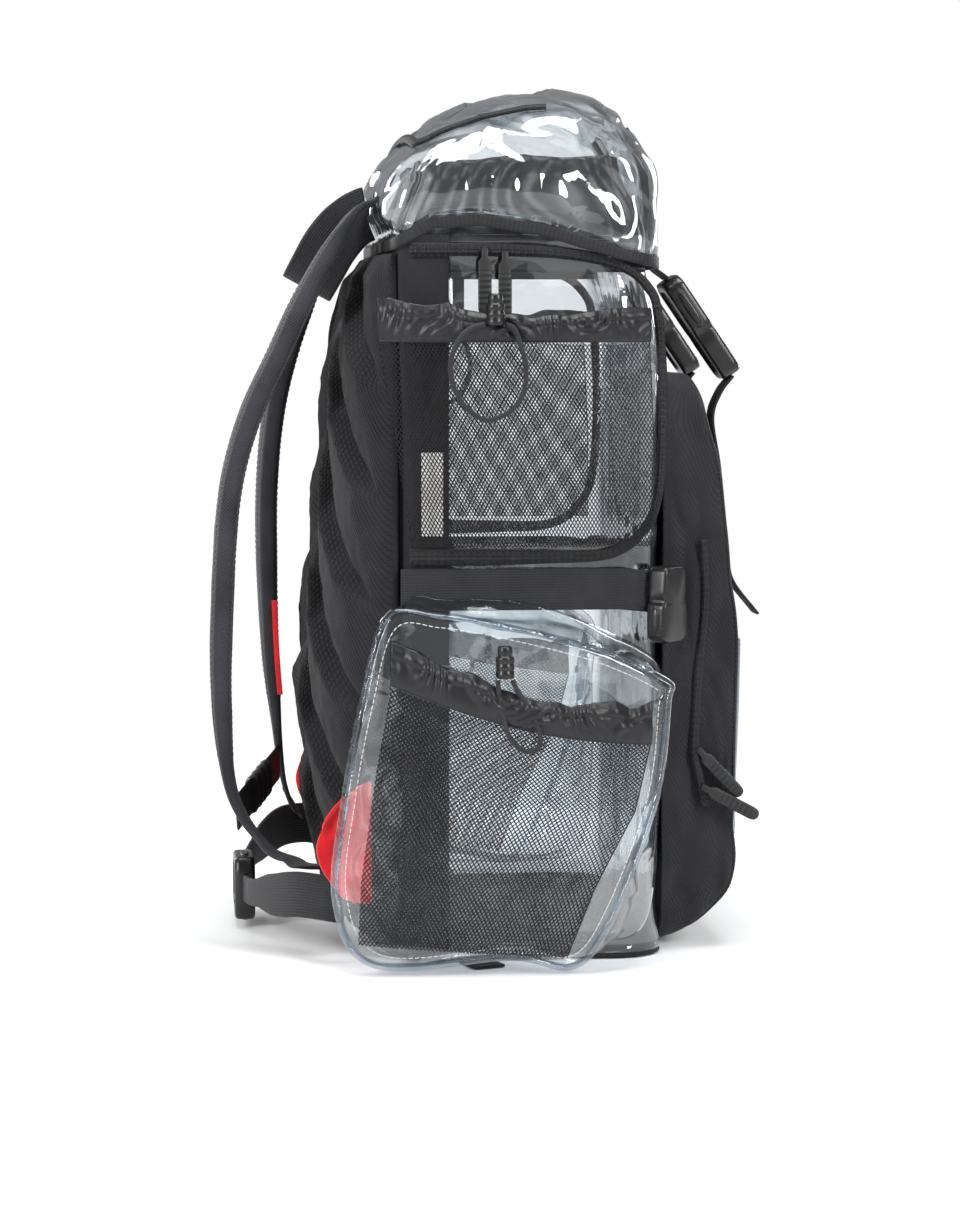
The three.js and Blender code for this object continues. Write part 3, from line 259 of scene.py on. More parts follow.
# %% [markdown]
# ## Finishes
# Each finish is named for the real material: woven cloth and webbing draw their threads from the piece's
# own UV in real millimetres. The clear vinyl lets the view through, and mirrors more of the lamps where it
# turns away.


# %% Colour and nodes
def linear(code):
    """An sRGB hex colour as the linear values that a shader reads."""
    c = np.array([int(code[k:k + 2], 16) for k in (0, 2, 4)]) / 255
    return (*np.where(c <= 0.04045, c / 12.92, ((c + 0.055) / 1.055) ** 2.4).tolist(), 1.0)


def node(tree, kind, links=(), **settings):
    """Adds a node, sets its attributes, and fills its sockets with values or with other nodes' outputs."""
    n = tree.nodes.new(kind)
    for key, value in settings.items():
        setattr(n, key, value)
    for socket, source in dict(links).items():
        if isinstance(source, bpy.types.NodeSocket):
            tree.links.new(source, n.inputs[socket])
        else:
            n.inputs[socket].default_value = source
    return n


def blank(name):
    """A material with an empty node tree."""
    m = bpy.data.materials.new(name)
    m.use_nodes = True
    m.node_tree.nodes.clear()
    return m, m.node_tree


WAVE = 2 * math.pi / 20  # a wave texture of scale WAVE / d repeats every d metres


# %% [markdown]
# Woven cloth is two sets of threads. A wave across and a wave along, multiplied, make the raised and sunken
# crossings; the colour is darker where a thread sinks and lighter at its crest, which is painted shade in the
# hollows and a painted highlight on the crests. A slower noise lightens and darkens it as worn cloth does.


# %% Woven cloth
# Thread heights for the colour ramp: painted shade is darkest where a thread sinks and the painted highlight
# is lightest on its crest.
HOLLOW_SHADE_AT, CREST_HIGHLIGHT_AT = 0.35, 1.25 / 1.3  # height of a thread at which it is darkest and lightest


def woven(name, dark, light, thread, turn=0.0, rough=0.85, sheen=0.25, height=0.25, twill=False, rib=1.0):
    """Cloth with threads a number of millimetres apart, turned in its plane. A twill has one set of
    diagonal waves; rib stretches the crossings along the cloth."""
    m, t = blank(name)
    at = node(t, "ShaderNodeTexCoord").outputs["UV"]
    turned = node(t, "ShaderNodeMapping", {"Vector": at, "Rotation": (0, 0, turn)}).outputs[0]
    weft = node(t, "ShaderNodeTexWave",
                {"Vector": turned, "Scale": WAVE / (thread * MM), "Distortion": 0.4, "Detail": 1.0},
                bands_direction="X").outputs["Fac"]
    warp = node(t, "ShaderNodeTexWave",
                {"Vector": turned, "Scale": WAVE / (thread * rib * MM), "Distortion": 0.4, "Detail": 1.0},
                bands_direction="DIAGONAL" if twill else "Y").outputs["Fac"]
    both = node(t, "ShaderNodeMath", {0: weft, 1: warp}, operation="MULTIPLY").outputs[0]
    place = node(t, "ShaderNodeTexCoord").outputs["Object"]
    worn = node(t, "ShaderNodeTexNoise", {"Vector": place, "Scale": 35.0, "Detail": 3.0}).outputs["Fac"]
    # Colour follows thread height, which is painted shade in the weave's hollows and a painted highlight on
    # its crests, plus random tone from the slow noise.
    depth_shade_and_tone = node(t, "ShaderNodeMath", {0: both, 1: worn}, operation="ADD").outputs[0]
    colour = node(t, "ShaderNodeValToRGB", {"Fac": depth_shade_and_tone})
    for stop, (place_on_ramp, tone) in zip(colour.color_ramp.elements, ((HOLLOW_SHADE_AT, dark), (CREST_HIGHLIGHT_AT, light))):
        stop.position, stop.color = place_on_ramp, linear(tone)
    bump = node(t, "ShaderNodeBump", {"Height": both, "Strength": 0.9, "Distance": height * MM})
    shader = node(t, "ShaderNodeBsdfPrincipled",
                  {"Base Color": colour.outputs[0], "Roughness": rough, "IOR": 1.5,
                   "Specular IOR Level": 0.35, "Sheen Weight": sheen, "Sheen Roughness": 0.4,
                   "Normal": bump.outputs[0]})
    node(t, "ShaderNodeOutputMaterial", {"Surface": shader.outputs[0]})
    return m


PACK_CLOTH = woven("polyester_pack_cloth", "0f0f11", "232327", 1.1, twill=True, turn=0.4, sheen=0.08)
PAD_CLOTH = woven("ribbed_air_mesh", "0b0b0d", "222226", 2.3, turn=0.0, rough=0.95, sheen=0.05, height=0.5,
                  rib=0.45)
STRAP_CLOTH = woven("heather_strap_cloth", "141417", "34343a", 1.4, turn=0.6, rough=0.9, sheen=0.12)
NYLON = woven("satin_nylon_taffeta", "0e0e10", "1f1f22", 0.9, rough=0.34, sheen=0.0, height=0.05)
WEBBING = woven("polypropylene_webbing", "0f0f11", "27272b", 1.6, rough=0.7, sheen=0.08, height=0.35, rib=0.6)
BINDING = woven("grosgrain_binding", "0c0c0e", "1e1e21", 0.9, rough=0.65, sheen=0.05, height=0.2, rib=3.0)
NET = woven("knitted_net_yarn", "0c0c0e", "1d1d20", 0.8, rough=0.8, sheen=0.0)
RED_CLOTH = woven("red_pack_cloth", "b80c16", "f01420", 1.2, rough=0.75, sheen=0.3)
CORD_BRAID = woven("braided_cord_sheath", "111113", "2f2f33", 1.2, turn=0.78, rough=0.7, sheen=0.1,
                   height=0.3)
LABEL_CLOTH = woven("woven_label_satin", "d8d4cf", "f4f2ee", 0.8, rough=0.6, height=0.08)
COIL = woven("zip_tape_and_coil", "0a0a0c", "1c1c1f", 1.3, rough=0.5, sheen=0.0, height=0.4, rib=3.0)


# %% [markdown]
# Moulded plastic is satin black with a faint grain from its mould. Rubber pulls are the same, but duller.


# %% Moulded plastic
def moulded(name, tone, rough, grain):
    """A plain moulded surface whose gloss varies a little and whose grain is a number of millimetres."""
    m, t = blank(name)
    place = node(t, "ShaderNodeTexCoord").outputs["Object"]
    fine = node(t, "ShaderNodeTexNoise",
                {"Vector": place, "Scale": 1 / (grain * MM), "Detail": 2.0}).outputs["Fac"]
    wide = node(t, "ShaderNodeTexNoise", {"Vector": place, "Scale": 60.0, "Detail": 2.0}).outputs["Fac"]
    shine = node(t, "ShaderNodeMapRange",
                 {"Value": wide, "To Min": rough - 0.08, "To Max": rough + 0.1}).outputs[0]
    bump = node(t, "ShaderNodeBump", {"Height": fine, "Strength": 0.5, "Distance": 0.05 * MM})
    shader = node(t, "ShaderNodeBsdfPrincipled", {"Base Color": linear(tone), "Roughness": shine,
                                                  "IOR": 1.48, "Normal": bump.outputs[0]})
    node(t, "ShaderNodeOutputMaterial", {"Surface": shader.outputs[0]})
    return m


ACETAL = moulded("acetal_buckle_plastic", "111113", 0.3, 0.6)
RUBBER = moulded("soft_rubber_pull", "161618", 0.5, 0.5)
THREAD = moulded("polyester_thread", "2b2b2f", 0.7, 0.5)
CLEAR_THREAD = moulded("pale_seam_thread", "d9dde0", 0.6, 0.5)


# %% [markdown]
# Soft clear vinyl, 0.5 to 1 mm thick, bends the view too little to see, so it lets rays straight through.
# What shows it is gloss: sharp lamps on every crease, and a grey-blue tint that deepens where it is seen
# edge-on. The creases are in the mesh, and a fine bump adds the smallest ones.


# %% Clear vinyl
def vinyl(name, tint, edge, rough, small, gloss=1.0):
    """Clear sheet: transparent, and tinted where it turns away. It mirrors 0.065 + 0.75 f^3.4 of the light,
    where f is 0 face on and 1 edge on. Both sides do the same, so no light is caught inside its wall."""
    m, t = blank(name)
    place = node(t, "ShaderNodeTexCoord").outputs["Object"]
    folds = node(t, "ShaderNodeTexNoise",
                 {"Vector": place, "Scale": small, "Detail": 2.0, "Distortion": 1.2}).outputs["Fac"]
    bump = node(t, "ShaderNodeBump", {"Height": folds, "Strength": 0.45, "Distance": 2.2 * MM}).outputs[0]
    turned = node(t, "ShaderNodeLayerWeight", {"Blend": 0.5, "Normal": bump}).outputs["Facing"]
    steep = node(t, "ShaderNodeMath", {0: turned, 1: 3.4}, operation="POWER").outputs[0]
    tone = node(t, "ShaderNodeMix", {0: steep, 6: linear(tint), 7: linear(edge)}, data_type="RGBA").outputs[2]
    through = node(t, "ShaderNodeBsdfTransparent", {"Color": tone}).outputs[0]
    mirror = node(t, "ShaderNodeBsdfAnisotropic",
                  {"Color": (gloss, gloss, gloss, 1), "Roughness": rough, "Normal": bump}).outputs[0]
    share = node(t, "ShaderNodeMath", {0: steep, 1: 0.75, 2: 0.065}, operation="MULTIPLY_ADD").outputs[0]
    both = node(t, "ShaderNodeMixShader", {0: share, 1: through, 2: mirror}).outputs[0]
    node(t, "ShaderNodeOutputMaterial", {"Surface": both})
    return m


VINYL = vinyl("clear_vinyl_sheet", "fbfdfe", "7f8c99", 0.045, 30.0)
VINYL_SEAM = vinyl("welted_vinyl_seam", "dde4ea", "6f7b87", 0.1, 90.0)

# %% [markdown]
# ## Floor and light
# A wide pale floor fades into the pale surroundings with distance, so no horizon shows. Large soft lamps
# stand where a product studio has them: two in front of the pack's side, one above and two behind.

# %% Floor
GROUND = -0.0005
turns = np.linspace(0, 2 * np.pi, 64, endpoint=False)
rings = np.array([0.0, 0.4, 0.8, 1.6, 3.2, 8.0, 30.0])
disc = np.stack([np.outer(rings, np.cos(turns)), np.outer(rings, np.sin(turns)), np.full((7, 64), GROUND)],
                -1) / MM
PALE = (1.0, 1.0, 1.0, 1.0)
floor_finish, t = blank("matt_paper_floor")
spot = node(t, "ShaderNodeTexCoord").outputs["Object"]
reach = node(t, "ShaderNodeVectorMath", {0: spot}, operation="LENGTH").outputs["Value"]
far = node(t, "ShaderNodeMapRange", {"Value": reach, "From Min": 0.3, "From Max": 1.1},
           interpolation_type="SMOOTHSTEP").outputs[0]
paper = node(t, "ShaderNodeBsdfDiffuse", {"Color": (0.86, 0.865, 0.87, 1)}).outputs[0]
glow = node(t, "ShaderNodeEmission", {"Color": PALE, "Strength": 1.0}).outputs[0]
node(t, "ShaderNodeOutputMaterial", {"Surface": node(t, "ShaderNodeMixShader",
                                                     {0: far, 1: paper, 2: glow}).outputs[0]})
floor_mesh = bpy.data.meshes.new("floor")
floor_mesh.from_pydata((disc.reshape(-1, 3) * MM).tolist(), [], cells(7, 64, wrap=True).tolist())
floor_mesh.materials.append(floor_finish)
floor = bpy.data.objects.new("floor", floor_mesh)
bpy.context.collection.objects.link(floor)

# %% Light
world = bpy.data.worlds.new("studio")
world.use_nodes = True
w = world.node_tree
w.nodes.clear()
seen = node(w, "ShaderNodeLightPath").outputs["Is Camera Ray"]
pale = node(w, "ShaderNodeBackground", {"Color": PALE, "Strength": 1.0}).outputs[0]
fill = node(w, "ShaderNodeBackground", {"Color": PALE, "Strength": 0.34}).outputs[0]
node(w, "ShaderNodeOutputWorld", {"Surface": node(w, "ShaderNodeMixShader",
                                                  {0: seen, 1: fill, 2: pale}).outputs[0]})
bpy.context.scene.world = world
bpy.context.scene.view_settings.view_transform = "Standard"
bpy.context.scene.cycles.transparent_max_bounces = 48


def lamp(name, place, size, power):
    """A rectangular lamp of that width and height in metres, turned to the middle of the pack."""
    data = bpy.data.lights.new(name, "AREA")
    data.shape, data.size, data.size_y, data.energy = "RECTANGLE", size[0], size[1], power
    ob = bpy.data.objects.new(name, data)
    ob.location = place
    turn = np.array([0, 0, 0.25]) - np.array(place)
    ob.rotation_euler = (math.atan2(math.hypot(turn[0], turn[1]), -turn[2]), 0,
                         math.atan2(turn[1], turn[0]) - math.pi / 2)
    bpy.context.collection.objects.link(ob)
    return ob


lamp("key", (-1.5, -1.1, 1.1), (0.35, 1.2), 30)
lamp("fill", (-1.2, 1.6, 0.9), (0.3, 1.2), 34)
lamp("top", (-0.2, 0.0, 1.9), (1.2, 0.8), 30)
lamp("behind", (1.5, 1.2, 0.9), (0.6, 1.2), 20)
lamp("rim", (1.4, -1.4, 0.8), (0.6, 1.2), 20)

# %% [markdown]
# ## Drawcords
# Each side pocket is drawn shut by a 3 mm braided cord that leaves its lock, hangs in a loop and goes back
# in. A tube carried along the route keeps its real length, and its braid follows the tube's own UV.

# %% Drawcords
CORD_THICK = 3.0
ROUND = oval(12, 1.0)
UPPER_CORD_X = -0.1782
UPPER_CORD = np.array([[0.0289, 0.383], [0.036, 0.3815], [0.044, 0.375], [0.049, 0.363], [0.049, 0.352],
                       [0.045, 0.341], [0.039, 0.333], [0.029, 0.327], [0.020, 0.329], [0.012, 0.334],
                       [0.006, 0.345], [0.005, 0.358], [0.008, 0.370], [0.012, 0.3805], [0.0171, 0.383]])
LOWER_CORD_X = -0.2122
LOWER_CORD = np.array([[0.025, 0.177], [0.024, 0.166], [0.0215, 0.155], [0.0185, 0.144], [0.013, 0.1375],
                       [0.007, 0.135], [0.0015, 0.137], [0.0, 0.142], [0.002, 0.151], [0.007, 0.161],
                       [0.013, 0.170], [0.0165, 0.177]])


def drawcord(name, x, loop, side):
    """A round tube along the loop, which lies in one upright plane."""
    flat = spline(loop / MM, 90)
    route = np.column_stack([np.full(len(flat), x / MM), flat])
    points, faces, uv = sweep(route, (1, 0, 0), CORD_THICK, CORD_THICK, ROUND)
    ob = piece(name, points, faces, CORD_BRAID, [name], uv, mirror=SIDES[side] < 0)
    return facing_out(ob)


for side in SIDES:
    drawcord(f"cord_upper_{side}", UPPER_CORD_X, UPPER_CORD, side)
    drawcord(f"cord_lower_{side}", LOWER_CORD_X, LOWER_CORD, side)

# %% [markdown]
# ## Clear body and black back
# The body is a rounded box of clear sheet. Its outline is walked by distance, so the cloth back and the
# clear front meet on the side walls. Slack vinyl stands in tall, soft folds, so the wall is pressed inward
# by creases that are longer upright than across.

# %% Body
BODY_HALF, BODY_BACK, BODY_FRONT, BODY_TOP = 150.0, 78.0, -84.0, 436.0
BACK_CORNER, FRONT_CORNER = 14.0, 28.0
FRONT_TAPER, TAPER_START = 12.0, 370.0
CLEAR_WALL, CLOTH_WALL, GAP = 1.2, 2.0, 0.3
WALL_FOOT = 3.3
BACK_REACH = BODY_HALF - 2 * BACK_CORNER + math.pi / 2 * BACK_CORNER + 30


def round_box(half, high, low, high_corner, low_corner, count=900):
    """A rectangle with round corners from the middle of its high side, counter-clockwise, evenly spaced."""
    arc = np.linspace(0, np.pi / 2, 20)
    pose = [(high_corner - half, high - high_corner, high_corner, 1),
            (low_corner - half, low + low_corner, low_corner, 2),
            (half - low_corner, low + low_corner, low_corner, 3),
            (half - high_corner, high - high_corner, high_corner, 0)]
    parts = [np.array([[0, high]])]
    for x, y, r, quarter in pose:
        a = arc + quarter * np.pi / 2
        parts.append(np.stack([x + r * np.cos(a), y + r * np.sin(a)], -1))
    line = np.concatenate(parts + [np.array([[0, high]])])
    run = length_along(line)
    at = np.linspace(0, run[-1], count)
    return np.stack([np.interp(at, run, line[:, k]) for k in (0, 1)], -1)


def along(outline, distance):
    """Points of an outline at distances from its start."""
    run = length_along(outline)
    d = np.mod(distance, run[-1])
    return np.stack([np.interp(d, run, outline[:, k]) for k in (0, 1)], -1)


BODY_PANELS = ["body_front", "body_side_left", "body_side_right"]
BODY_OUTLINE = round_box(BODY_HALF, BODY_BACK, BODY_FRONT, BACK_CORNER, FRONT_CORNER)
BODY_ROUND = length_along(BODY_OUTLINE)[-1]


def body_surface(distance, z):
    """The body's outline at a distance round it, whose front leans back a little above TAPER_START."""
    p = along(BODY_OUTLINE, distance)
    lean = (FRONT_TAPER * ease(TAPER_START, BODY_TOP, z)
            * np.clip((BODY_BACK - p[..., 1]) / (BODY_BACK - BODY_FRONT), 0, 1))
    return np.stack([p[..., 0], p[..., 1] + lean, np.broadcast_to(z, p.shape[:-1])], -1)


d, z = np.meshgrid(np.linspace(BACK_REACH + GAP, BODY_ROUND - BACK_REACH - GAP, 126),
                   np.linspace(WALL_FOOT, BODY_TOP, 86))
shell = body_surface(d, z)
press = 1.3 * (1.2 + crumple(d / 60, z / 190, 3)) * ease(0, 25, z - WALL_FOOT) * ease(0, 12, BODY_TOP - z)
shell = shell - np.clip(press, 0, 4)[..., None] * normals(shell)
wall(piece("body_shell", shell, cells(*shell.shape[:2]), VINYL, BODY_PANELS, sheet_uv(shell)),
     CLEAR_WALL)
print("clear wall", round(BODY_ROUND - 2 * BACK_REACH), "mm round")

# %% Back panel and base
d, z = np.meshgrid(np.linspace(-BACK_REACH, BACK_REACH, 90), np.linspace(0, 1, 36))
back = body_surface(d, WALL_FOOT)
top = BODY_TOP + 10 * ease(BODY_HALF, BODY_HALF / 2, np.abs(back[..., 0]))
back[..., 2] = WALL_FOOT + (top - WALL_FOOT) * z
wall(piece("back_panel", back, cells(*back.shape[:2]), PACK_CLOTH, ["back_panel"], sheet_uv(back)),
     CLOTH_WALL)

BASE_THICK = 3.0
BASE_RINGS = [(0.02, 0.0), (0.5, 0.0), (0.985, 0.0), (1.0, 0.6), (1.0, 2.4), (0.985, 3.0), (0.5, 3.0),
              (0.02, 3.0)]
middle = np.array([0, (BODY_BACK + BODY_FRONT) / 2])
ring = round_box(BODY_HALF, BODY_BACK, BODY_FRONT, BACK_CORNER, FRONT_CORNER, 161)[:-1] - middle
base = np.array([np.column_stack([middle + share * ring, np.full(160, high)]) for share, high in BASE_RINGS])
caps = [np.arange(160)[::-1][None], (np.arange(160) + 160 * (len(BASE_RINGS) - 1))[None]]
facing_out(piece("base_panel", base, [cells(*base.shape[:2], wrap=True)] + caps, PACK_CLOTH,
                 ["base_panel"], base[..., :2]))
print("base", BASE_THICK, "mm")

# %% [markdown]
# ## Back pad
# The pad is foam sewn into slanting channels that overlap like shingles: each swells just under its seam
# and thins towards the next. It is one closed surface whose depth is a profile up the back, times a crown
# across it, plus the channels, which depend on height plus slope times distance from the spine.

# %% Back pad
PAD_BOTTOM, PAD_TOP, PAD_HALF, PAD_BULGE = 3.0, 425.0, 147.0, 54.0
LOBE_PITCH, LOBE_DEPTH, LOBE_SLOPE = 66.0, 8.5, 0.8
PAD_PROFILE = [
    {"high": 0.00, "out": 0.26}, {"high": 0.03, "out": 0.62}, {"high": 0.10, "out": 0.84},
    {"high": 0.22, "out": 0.95}, {"high": 0.36, "out": 1.00}, {"high": 0.54, "out": 0.86},
    {"high": 0.70, "out": 0.72}, {"high": 0.86, "out": 0.60}, {"high": 0.97, "out": 0.36},
    {"high": 1.00, "out": 0.18},
]


def pad_depth(x, z):
    """Depth of the pad: profile times crown, and a channel that rises as a root and drops at its seam."""
    high = (z - PAD_BOTTOM) / (PAD_TOP - PAD_BOTTOM)
    side = np.clip(np.abs(x) / PAD_HALF, 0, 1)
    crown = (1 - side**3.2) ** 0.62 * (1 - 0.16 * np.exp(-((x / 26) ** 2)))
    phase = np.mod((z + LOBE_SLOPE * np.abs(x)) / LOBE_PITCH, 1)
    lobe = LOBE_DEPTH * (1.45 * np.sqrt(phase) * (1 - ease(0.86, 0.995, phase)) - 0.95)
    edge = ease(1, 0.86, side) * ease(0, 0.04, high) * ease(1, 0.95, high)
    slack = 0.9 * noise(x / 18, z / 18, 5) + 0.5 * noise(x / 7, z / 7, 6)
    spine = np.interp(high, [r["high"] for r in PAD_PROFILE], [r["out"] for r in PAD_PROFILE])
    return 3 + (PAD_BULGE * spine - 3) * crown + (lobe + slack) * edge


PAD_COLUMNS, PAD_ROWS = 160, 200
REAR_STEP = 8  # the flat rear needs every eighth column only
a, z = np.meshgrid(np.linspace(-np.pi / 2, np.pi / 2, PAD_COLUMNS),
                   np.linspace(PAD_BOTTOM, PAD_TOP, PAD_ROWS))
high = (z - PAD_BOTTOM) / (PAD_TOP - PAD_BOTTOM)
narrow = 1 - 0.05 * ease(0.7, 1, high) - 0.04 * ease(0.08, 0, high)
x = -PAD_HALF * np.sin(a)
front = np.stack([x * narrow, BODY_BACK + GAP + pad_depth(x, z), z], -1)
rear_x = x[:, ::-1][:, ::REAR_STEP] * narrow[:, ::REAR_STEP]
rear = np.stack([rear_x, np.full_like(rear_x, BODY_BACK + GAP), z[:, ::REAR_STEP]], -1)
pad = np.concatenate([front, rear], axis=1)
n = pad.shape[1]
slant = np.stack([x, z + LOBE_SLOPE * np.abs(x)], -1)
pad_uv = np.concatenate([np.stack([slant[..., 0] * 0.62 - slant[..., 1] * 0.5, slant[..., 1] * 0.78], -1),
                         rear[..., [0, 2]]], axis=1)
ends = [np.arange(n)[::-1][None], (np.arange(n) + (PAD_ROWS - 1) * n)[None]]
back_pad = facing_out(piece("back_pad", pad, [cells(PAD_ROWS, n, wrap=True)] + ends, PAD_CLOTH,
                            ["back_pad"], pad_uv))
print("pad", len(back_pad.data.polygons), "faces")

# %% [markdown]
# ## Collar
# Inside the lid a nylon sleeve stands out of the body and is drawn in at its top. The drawn-in cloth stands
# in upright pleats that deepen towards the hem: a wave round the sleeve whose steps vary with slow noise.

# %% Collar
COLLAR_TOP = 486.0
COLLAR_FOOT = BODY_TOP - 22
INSET = CLOTH_WALL + 2.2
sleeve = round_box(BODY_HALF - INSET, BODY_BACK - INSET, BODY_FRONT + 6 + INSET, BACK_CORNER, FRONT_CORNER,
                   301)[:-1]
u, v = np.meshgrid(np.linspace(0, 1, 300, endpoint=False), np.linspace(0, 1, 22))
pleat = np.cos(2 * np.pi * (34 * u + 1.1 * noise(u * 16, v * 1.5, 8))) + 0.5 * noise(u * 60, v * 3, 9)
drawn = 1 - 0.2 * ease(0.3, 1, v) - 0.022 * (1 + pleat) * ease(0.02, 0.6, v) * (1 - 0.5 * ease(0.86, 0.93, v))
hem = 1 + 0.012 * ease(0.86, 0.88, v)
collar = np.stack([sleeve[None, :, 0] * drawn * hem, sleeve[None, :, 1] * drawn * hem,
                   COLLAR_FOOT + (COLLAR_TOP - COLLAR_FOOT) * v - 2.5 * v * (1 + noise(u * 24, v, 12))], -1)
collar_uv = np.stack([u * 900, v * 72], -1)
collar_piece = wall(piece("collar", collar, cells(*collar.shape[:2], wrap=True), NYLON, ["collar"],
                          collar_uv), 1.2)

# %% [markdown]
# ## Lid
# The lid is a boxy dome of vinyl. Each point starts on the rim's outline and goes up a quarter turn whose
# cosine draws it inward and whose sine lifts it to the crown. Creases press it in and out, but not where
# the binding or the zip holds it.

# %% Lid
LID_HALF, LID_BACK, LID_FRONT, LID_CORNER = 156.0, 80.5, -80.0, 26.0
LID_CROWN, LID_RIM, LID_ARCH, CROWN_FALL = 527.0, 424.0, 25.0, 16.0
ARCH = [
    {"along": 0.00, "rise": 0.00}, {"along": 0.16, "rise": 0.20}, {"along": 0.45, "rise": 0.76},
    {"along": 0.69, "rise": 1.00}, {"along": 0.86, "rise": 0.92}, {"along": 0.95, "rise": 0.62},
    {"along": 1.00, "rise": 0.42},
]
CROWN = [
    {"along": 0.00, "high": 0.76}, {"along": 0.09, "high": 0.86}, {"along": 0.22, "high": 0.96},
    {"along": 0.36, "high": 1.00}, {"along": 0.50, "high": 0.98}, {"along": 0.66, "high": 0.92},
    {"along": 0.82, "high": 0.83}, {"along": 1.00, "high": 0.68},
]


def lid_surface(u, v, out=0.0):
    """Share u round the rim and v up the quarter turn, grown by out: a rim point drawn in and lifted."""
    turn = v * np.pi / 2
    inward, climb = np.cos(turn) ** 0.3, np.sin(turn) ** 0.55
    outline = round_box(LID_HALF + out, LID_BACK + out, LID_FRONT - out, BACK_CORNER + 2, LID_CORNER)
    rim = along(outline, np.mod(u, 1) * length_along(outline)[-1])
    centre = (LID_BACK + LID_FRONT) / 2
    x = rim[..., 0] * inward
    hump = 12 * climb * (1 - climb) * ease(centre, LID_BACK, rim[..., 1])
    y = centre + (rim[..., 1] - centre) * inward + hump
    share = np.clip((y - LID_FRONT) / (LID_BACK - LID_FRONT), 0, 1)
    high = column(CROWN, "high", share, by="along")
    crown = LID_RIM + (LID_CROWN - LID_RIM) * high - CROWN_FALL * (x / LID_HALF) ** 2
    at_rim = np.clip((rim[..., 1] - LID_FRONT) / (LID_BACK - LID_FRONT), 0, 1)
    foot = LID_RIM + LID_ARCH * column(ARCH, "rise", at_rim, by="along")
    return np.stack([x, y, foot + (crown + out - foot) * climb], -1)


u, v = np.meshgrid(np.linspace(0, 1, 250, endpoint=False), np.linspace(0, 0.985, 66))
lid = lid_surface(u, v)
free = ease(0, 0.06, v) * (1 - 0.75 * np.exp(-(((v - 0.7) / 0.05) ** 2)))
girth = u * 640
lean = 0.9 * noise(girth / 90, v * 2, 29)
fold = (3.6 * crumple(girth / 60 + 2 + lean, v * 1.6, 31, 2)
        + 1.0 * crumple(girth / 22 + 2 * lean, v * 2.4, 37, 1))
gather = (np.cos(2 * np.pi * (girth / 12 + 0.8 * noise(girth / 25, v * 2, 33)))
          * np.exp(-(((v - 0.07) / 0.07) ** 2)))
fold = fold + 1.1 * gather
lid_normal = unit(np.cross(np.roll(lid, -1, 1) - np.roll(lid, 1, 1), np.gradient(lid, axis=0)))
lid = lid + (np.clip(fold, -3.5, 4.5) * free)[..., None] * lid_normal
m = lid.shape[1]
crown_cap = (np.arange(m) + (len(lid) - 1) * m)[None]
lid_shell = piece("lid_shell", lid, [cells(*lid.shape[:2], wrap=True), crown_cap], VINYL,
                  ["lid_shell"],
                  np.stack([girth, v * 150], -1))
wall(lid_shell, 0.9)

# %% Lid binding and zip
BINDING_TALL, BINDING_THICK = 7.0, 2.6
u = np.linspace(0, 1, 260, endpoint=False)
edge_line = lid_surface(u, np.zeros(260), -CLEAR_WALL / 2) - [0, 0, 0.5 + GAP + BINDING_TALL / 2]
points, faces, uv = sweep(edge_line, (0, 0, 1), BINDING_TALL, BINDING_THICK, FLAT, closed=True)
facing_out(piece("lid_binding", points, faces, BINDING, ["lid_binding"], uv))

u = np.linspace(-0.27, 0.27, 400)
low, up = lid_surface(u, np.full(400, 0.7), 2.0), lid_surface(u, np.full(400, 0.76), 2.0)
teeth = np.cos(2 * np.pi * length_along(low) / 2.2)
points, faces, uv = sweep(low, up - low, 6.0, 2.0, FLAT)
rib = 1 + 0.5 * (teeth[:, None] > 0) * (np.abs(FLAT[None, :, 0]) < 0.5)
centre = points.mean(1, keepdims=True)
points = centre + (points - centre) * rib[..., None]
facing_out(piece("lid_zip", points, faces, COIL, ["lid_zip"], uv))
print("lid", len(lid_shell.data.polygons), "faces")

# %% [markdown]
# ## Side zip frame
# A zip runs in a C on each side wall. Its tape is a flat band along the route and its coil is a row of
# small ridges, so the band's thickness rises and falls with distance along the middle of its width.

# %% Zip frame
WALL_X = -BODY_HALF - GAP
FRAME_THICK, FRAME_WIDE, FRAME_FOOT_WIDE, FRAME_TOP, FRAME_FOOT = 3.0, 5.5, 10.0, 427.0, 244.5
FRAME_ROUTE = [
    (0.96, 1.00, 1.5), (0.70, 1.00, 1.4), (0.40, 0.99, 1.25), (0.17, 0.95, 1.0),
    (0.06, 0.88, 1.0), (0.02, 0.78, 1.0), (0.00, 0.50, 1.0), (0.015, 0.22, 1.0),
    (0.07, 0.09, 1.1), (0.20, 0.01, 1.5), (0.45, 0.00, 1.8), (0.96, 0.00, 1.8),
]  # share along the wall from the front, share of the height, share of the width
RIB_PROFILE = np.array([[1, -1], [1, 0.3], [0.55, 0.4], [0.5, 1], [0.06, 1], [0, 0.5], [-0.06, 1],
                        [-0.5, 1], [-0.55, 0.4], [-1, 0.3], [-1, -1]])


def coil_band(path, wide, width, thick, pitch=2.0, closed=False):
    """A tape with two rows of coil: the ridge points of the profile sink between turns of the coil."""
    run = length_along(path)
    points, faces, uv = sweep(path, wide, width, thick, RIB_PROFILE, closed)
    flat = sweep(path, wide, width, thick, RIB_PROFILE * [1, 0.35], closed)[0]
    turn = 0.5 + 0.5 * np.cos(2 * np.pi * run / pitch)
    ridge = (RIB_PROFILE[:, 1] > 0.6)[None, :, None]
    return np.where(ridge, points * (1 - turn[:, None, None]) + flat * turn[:, None, None], points), faces, uv


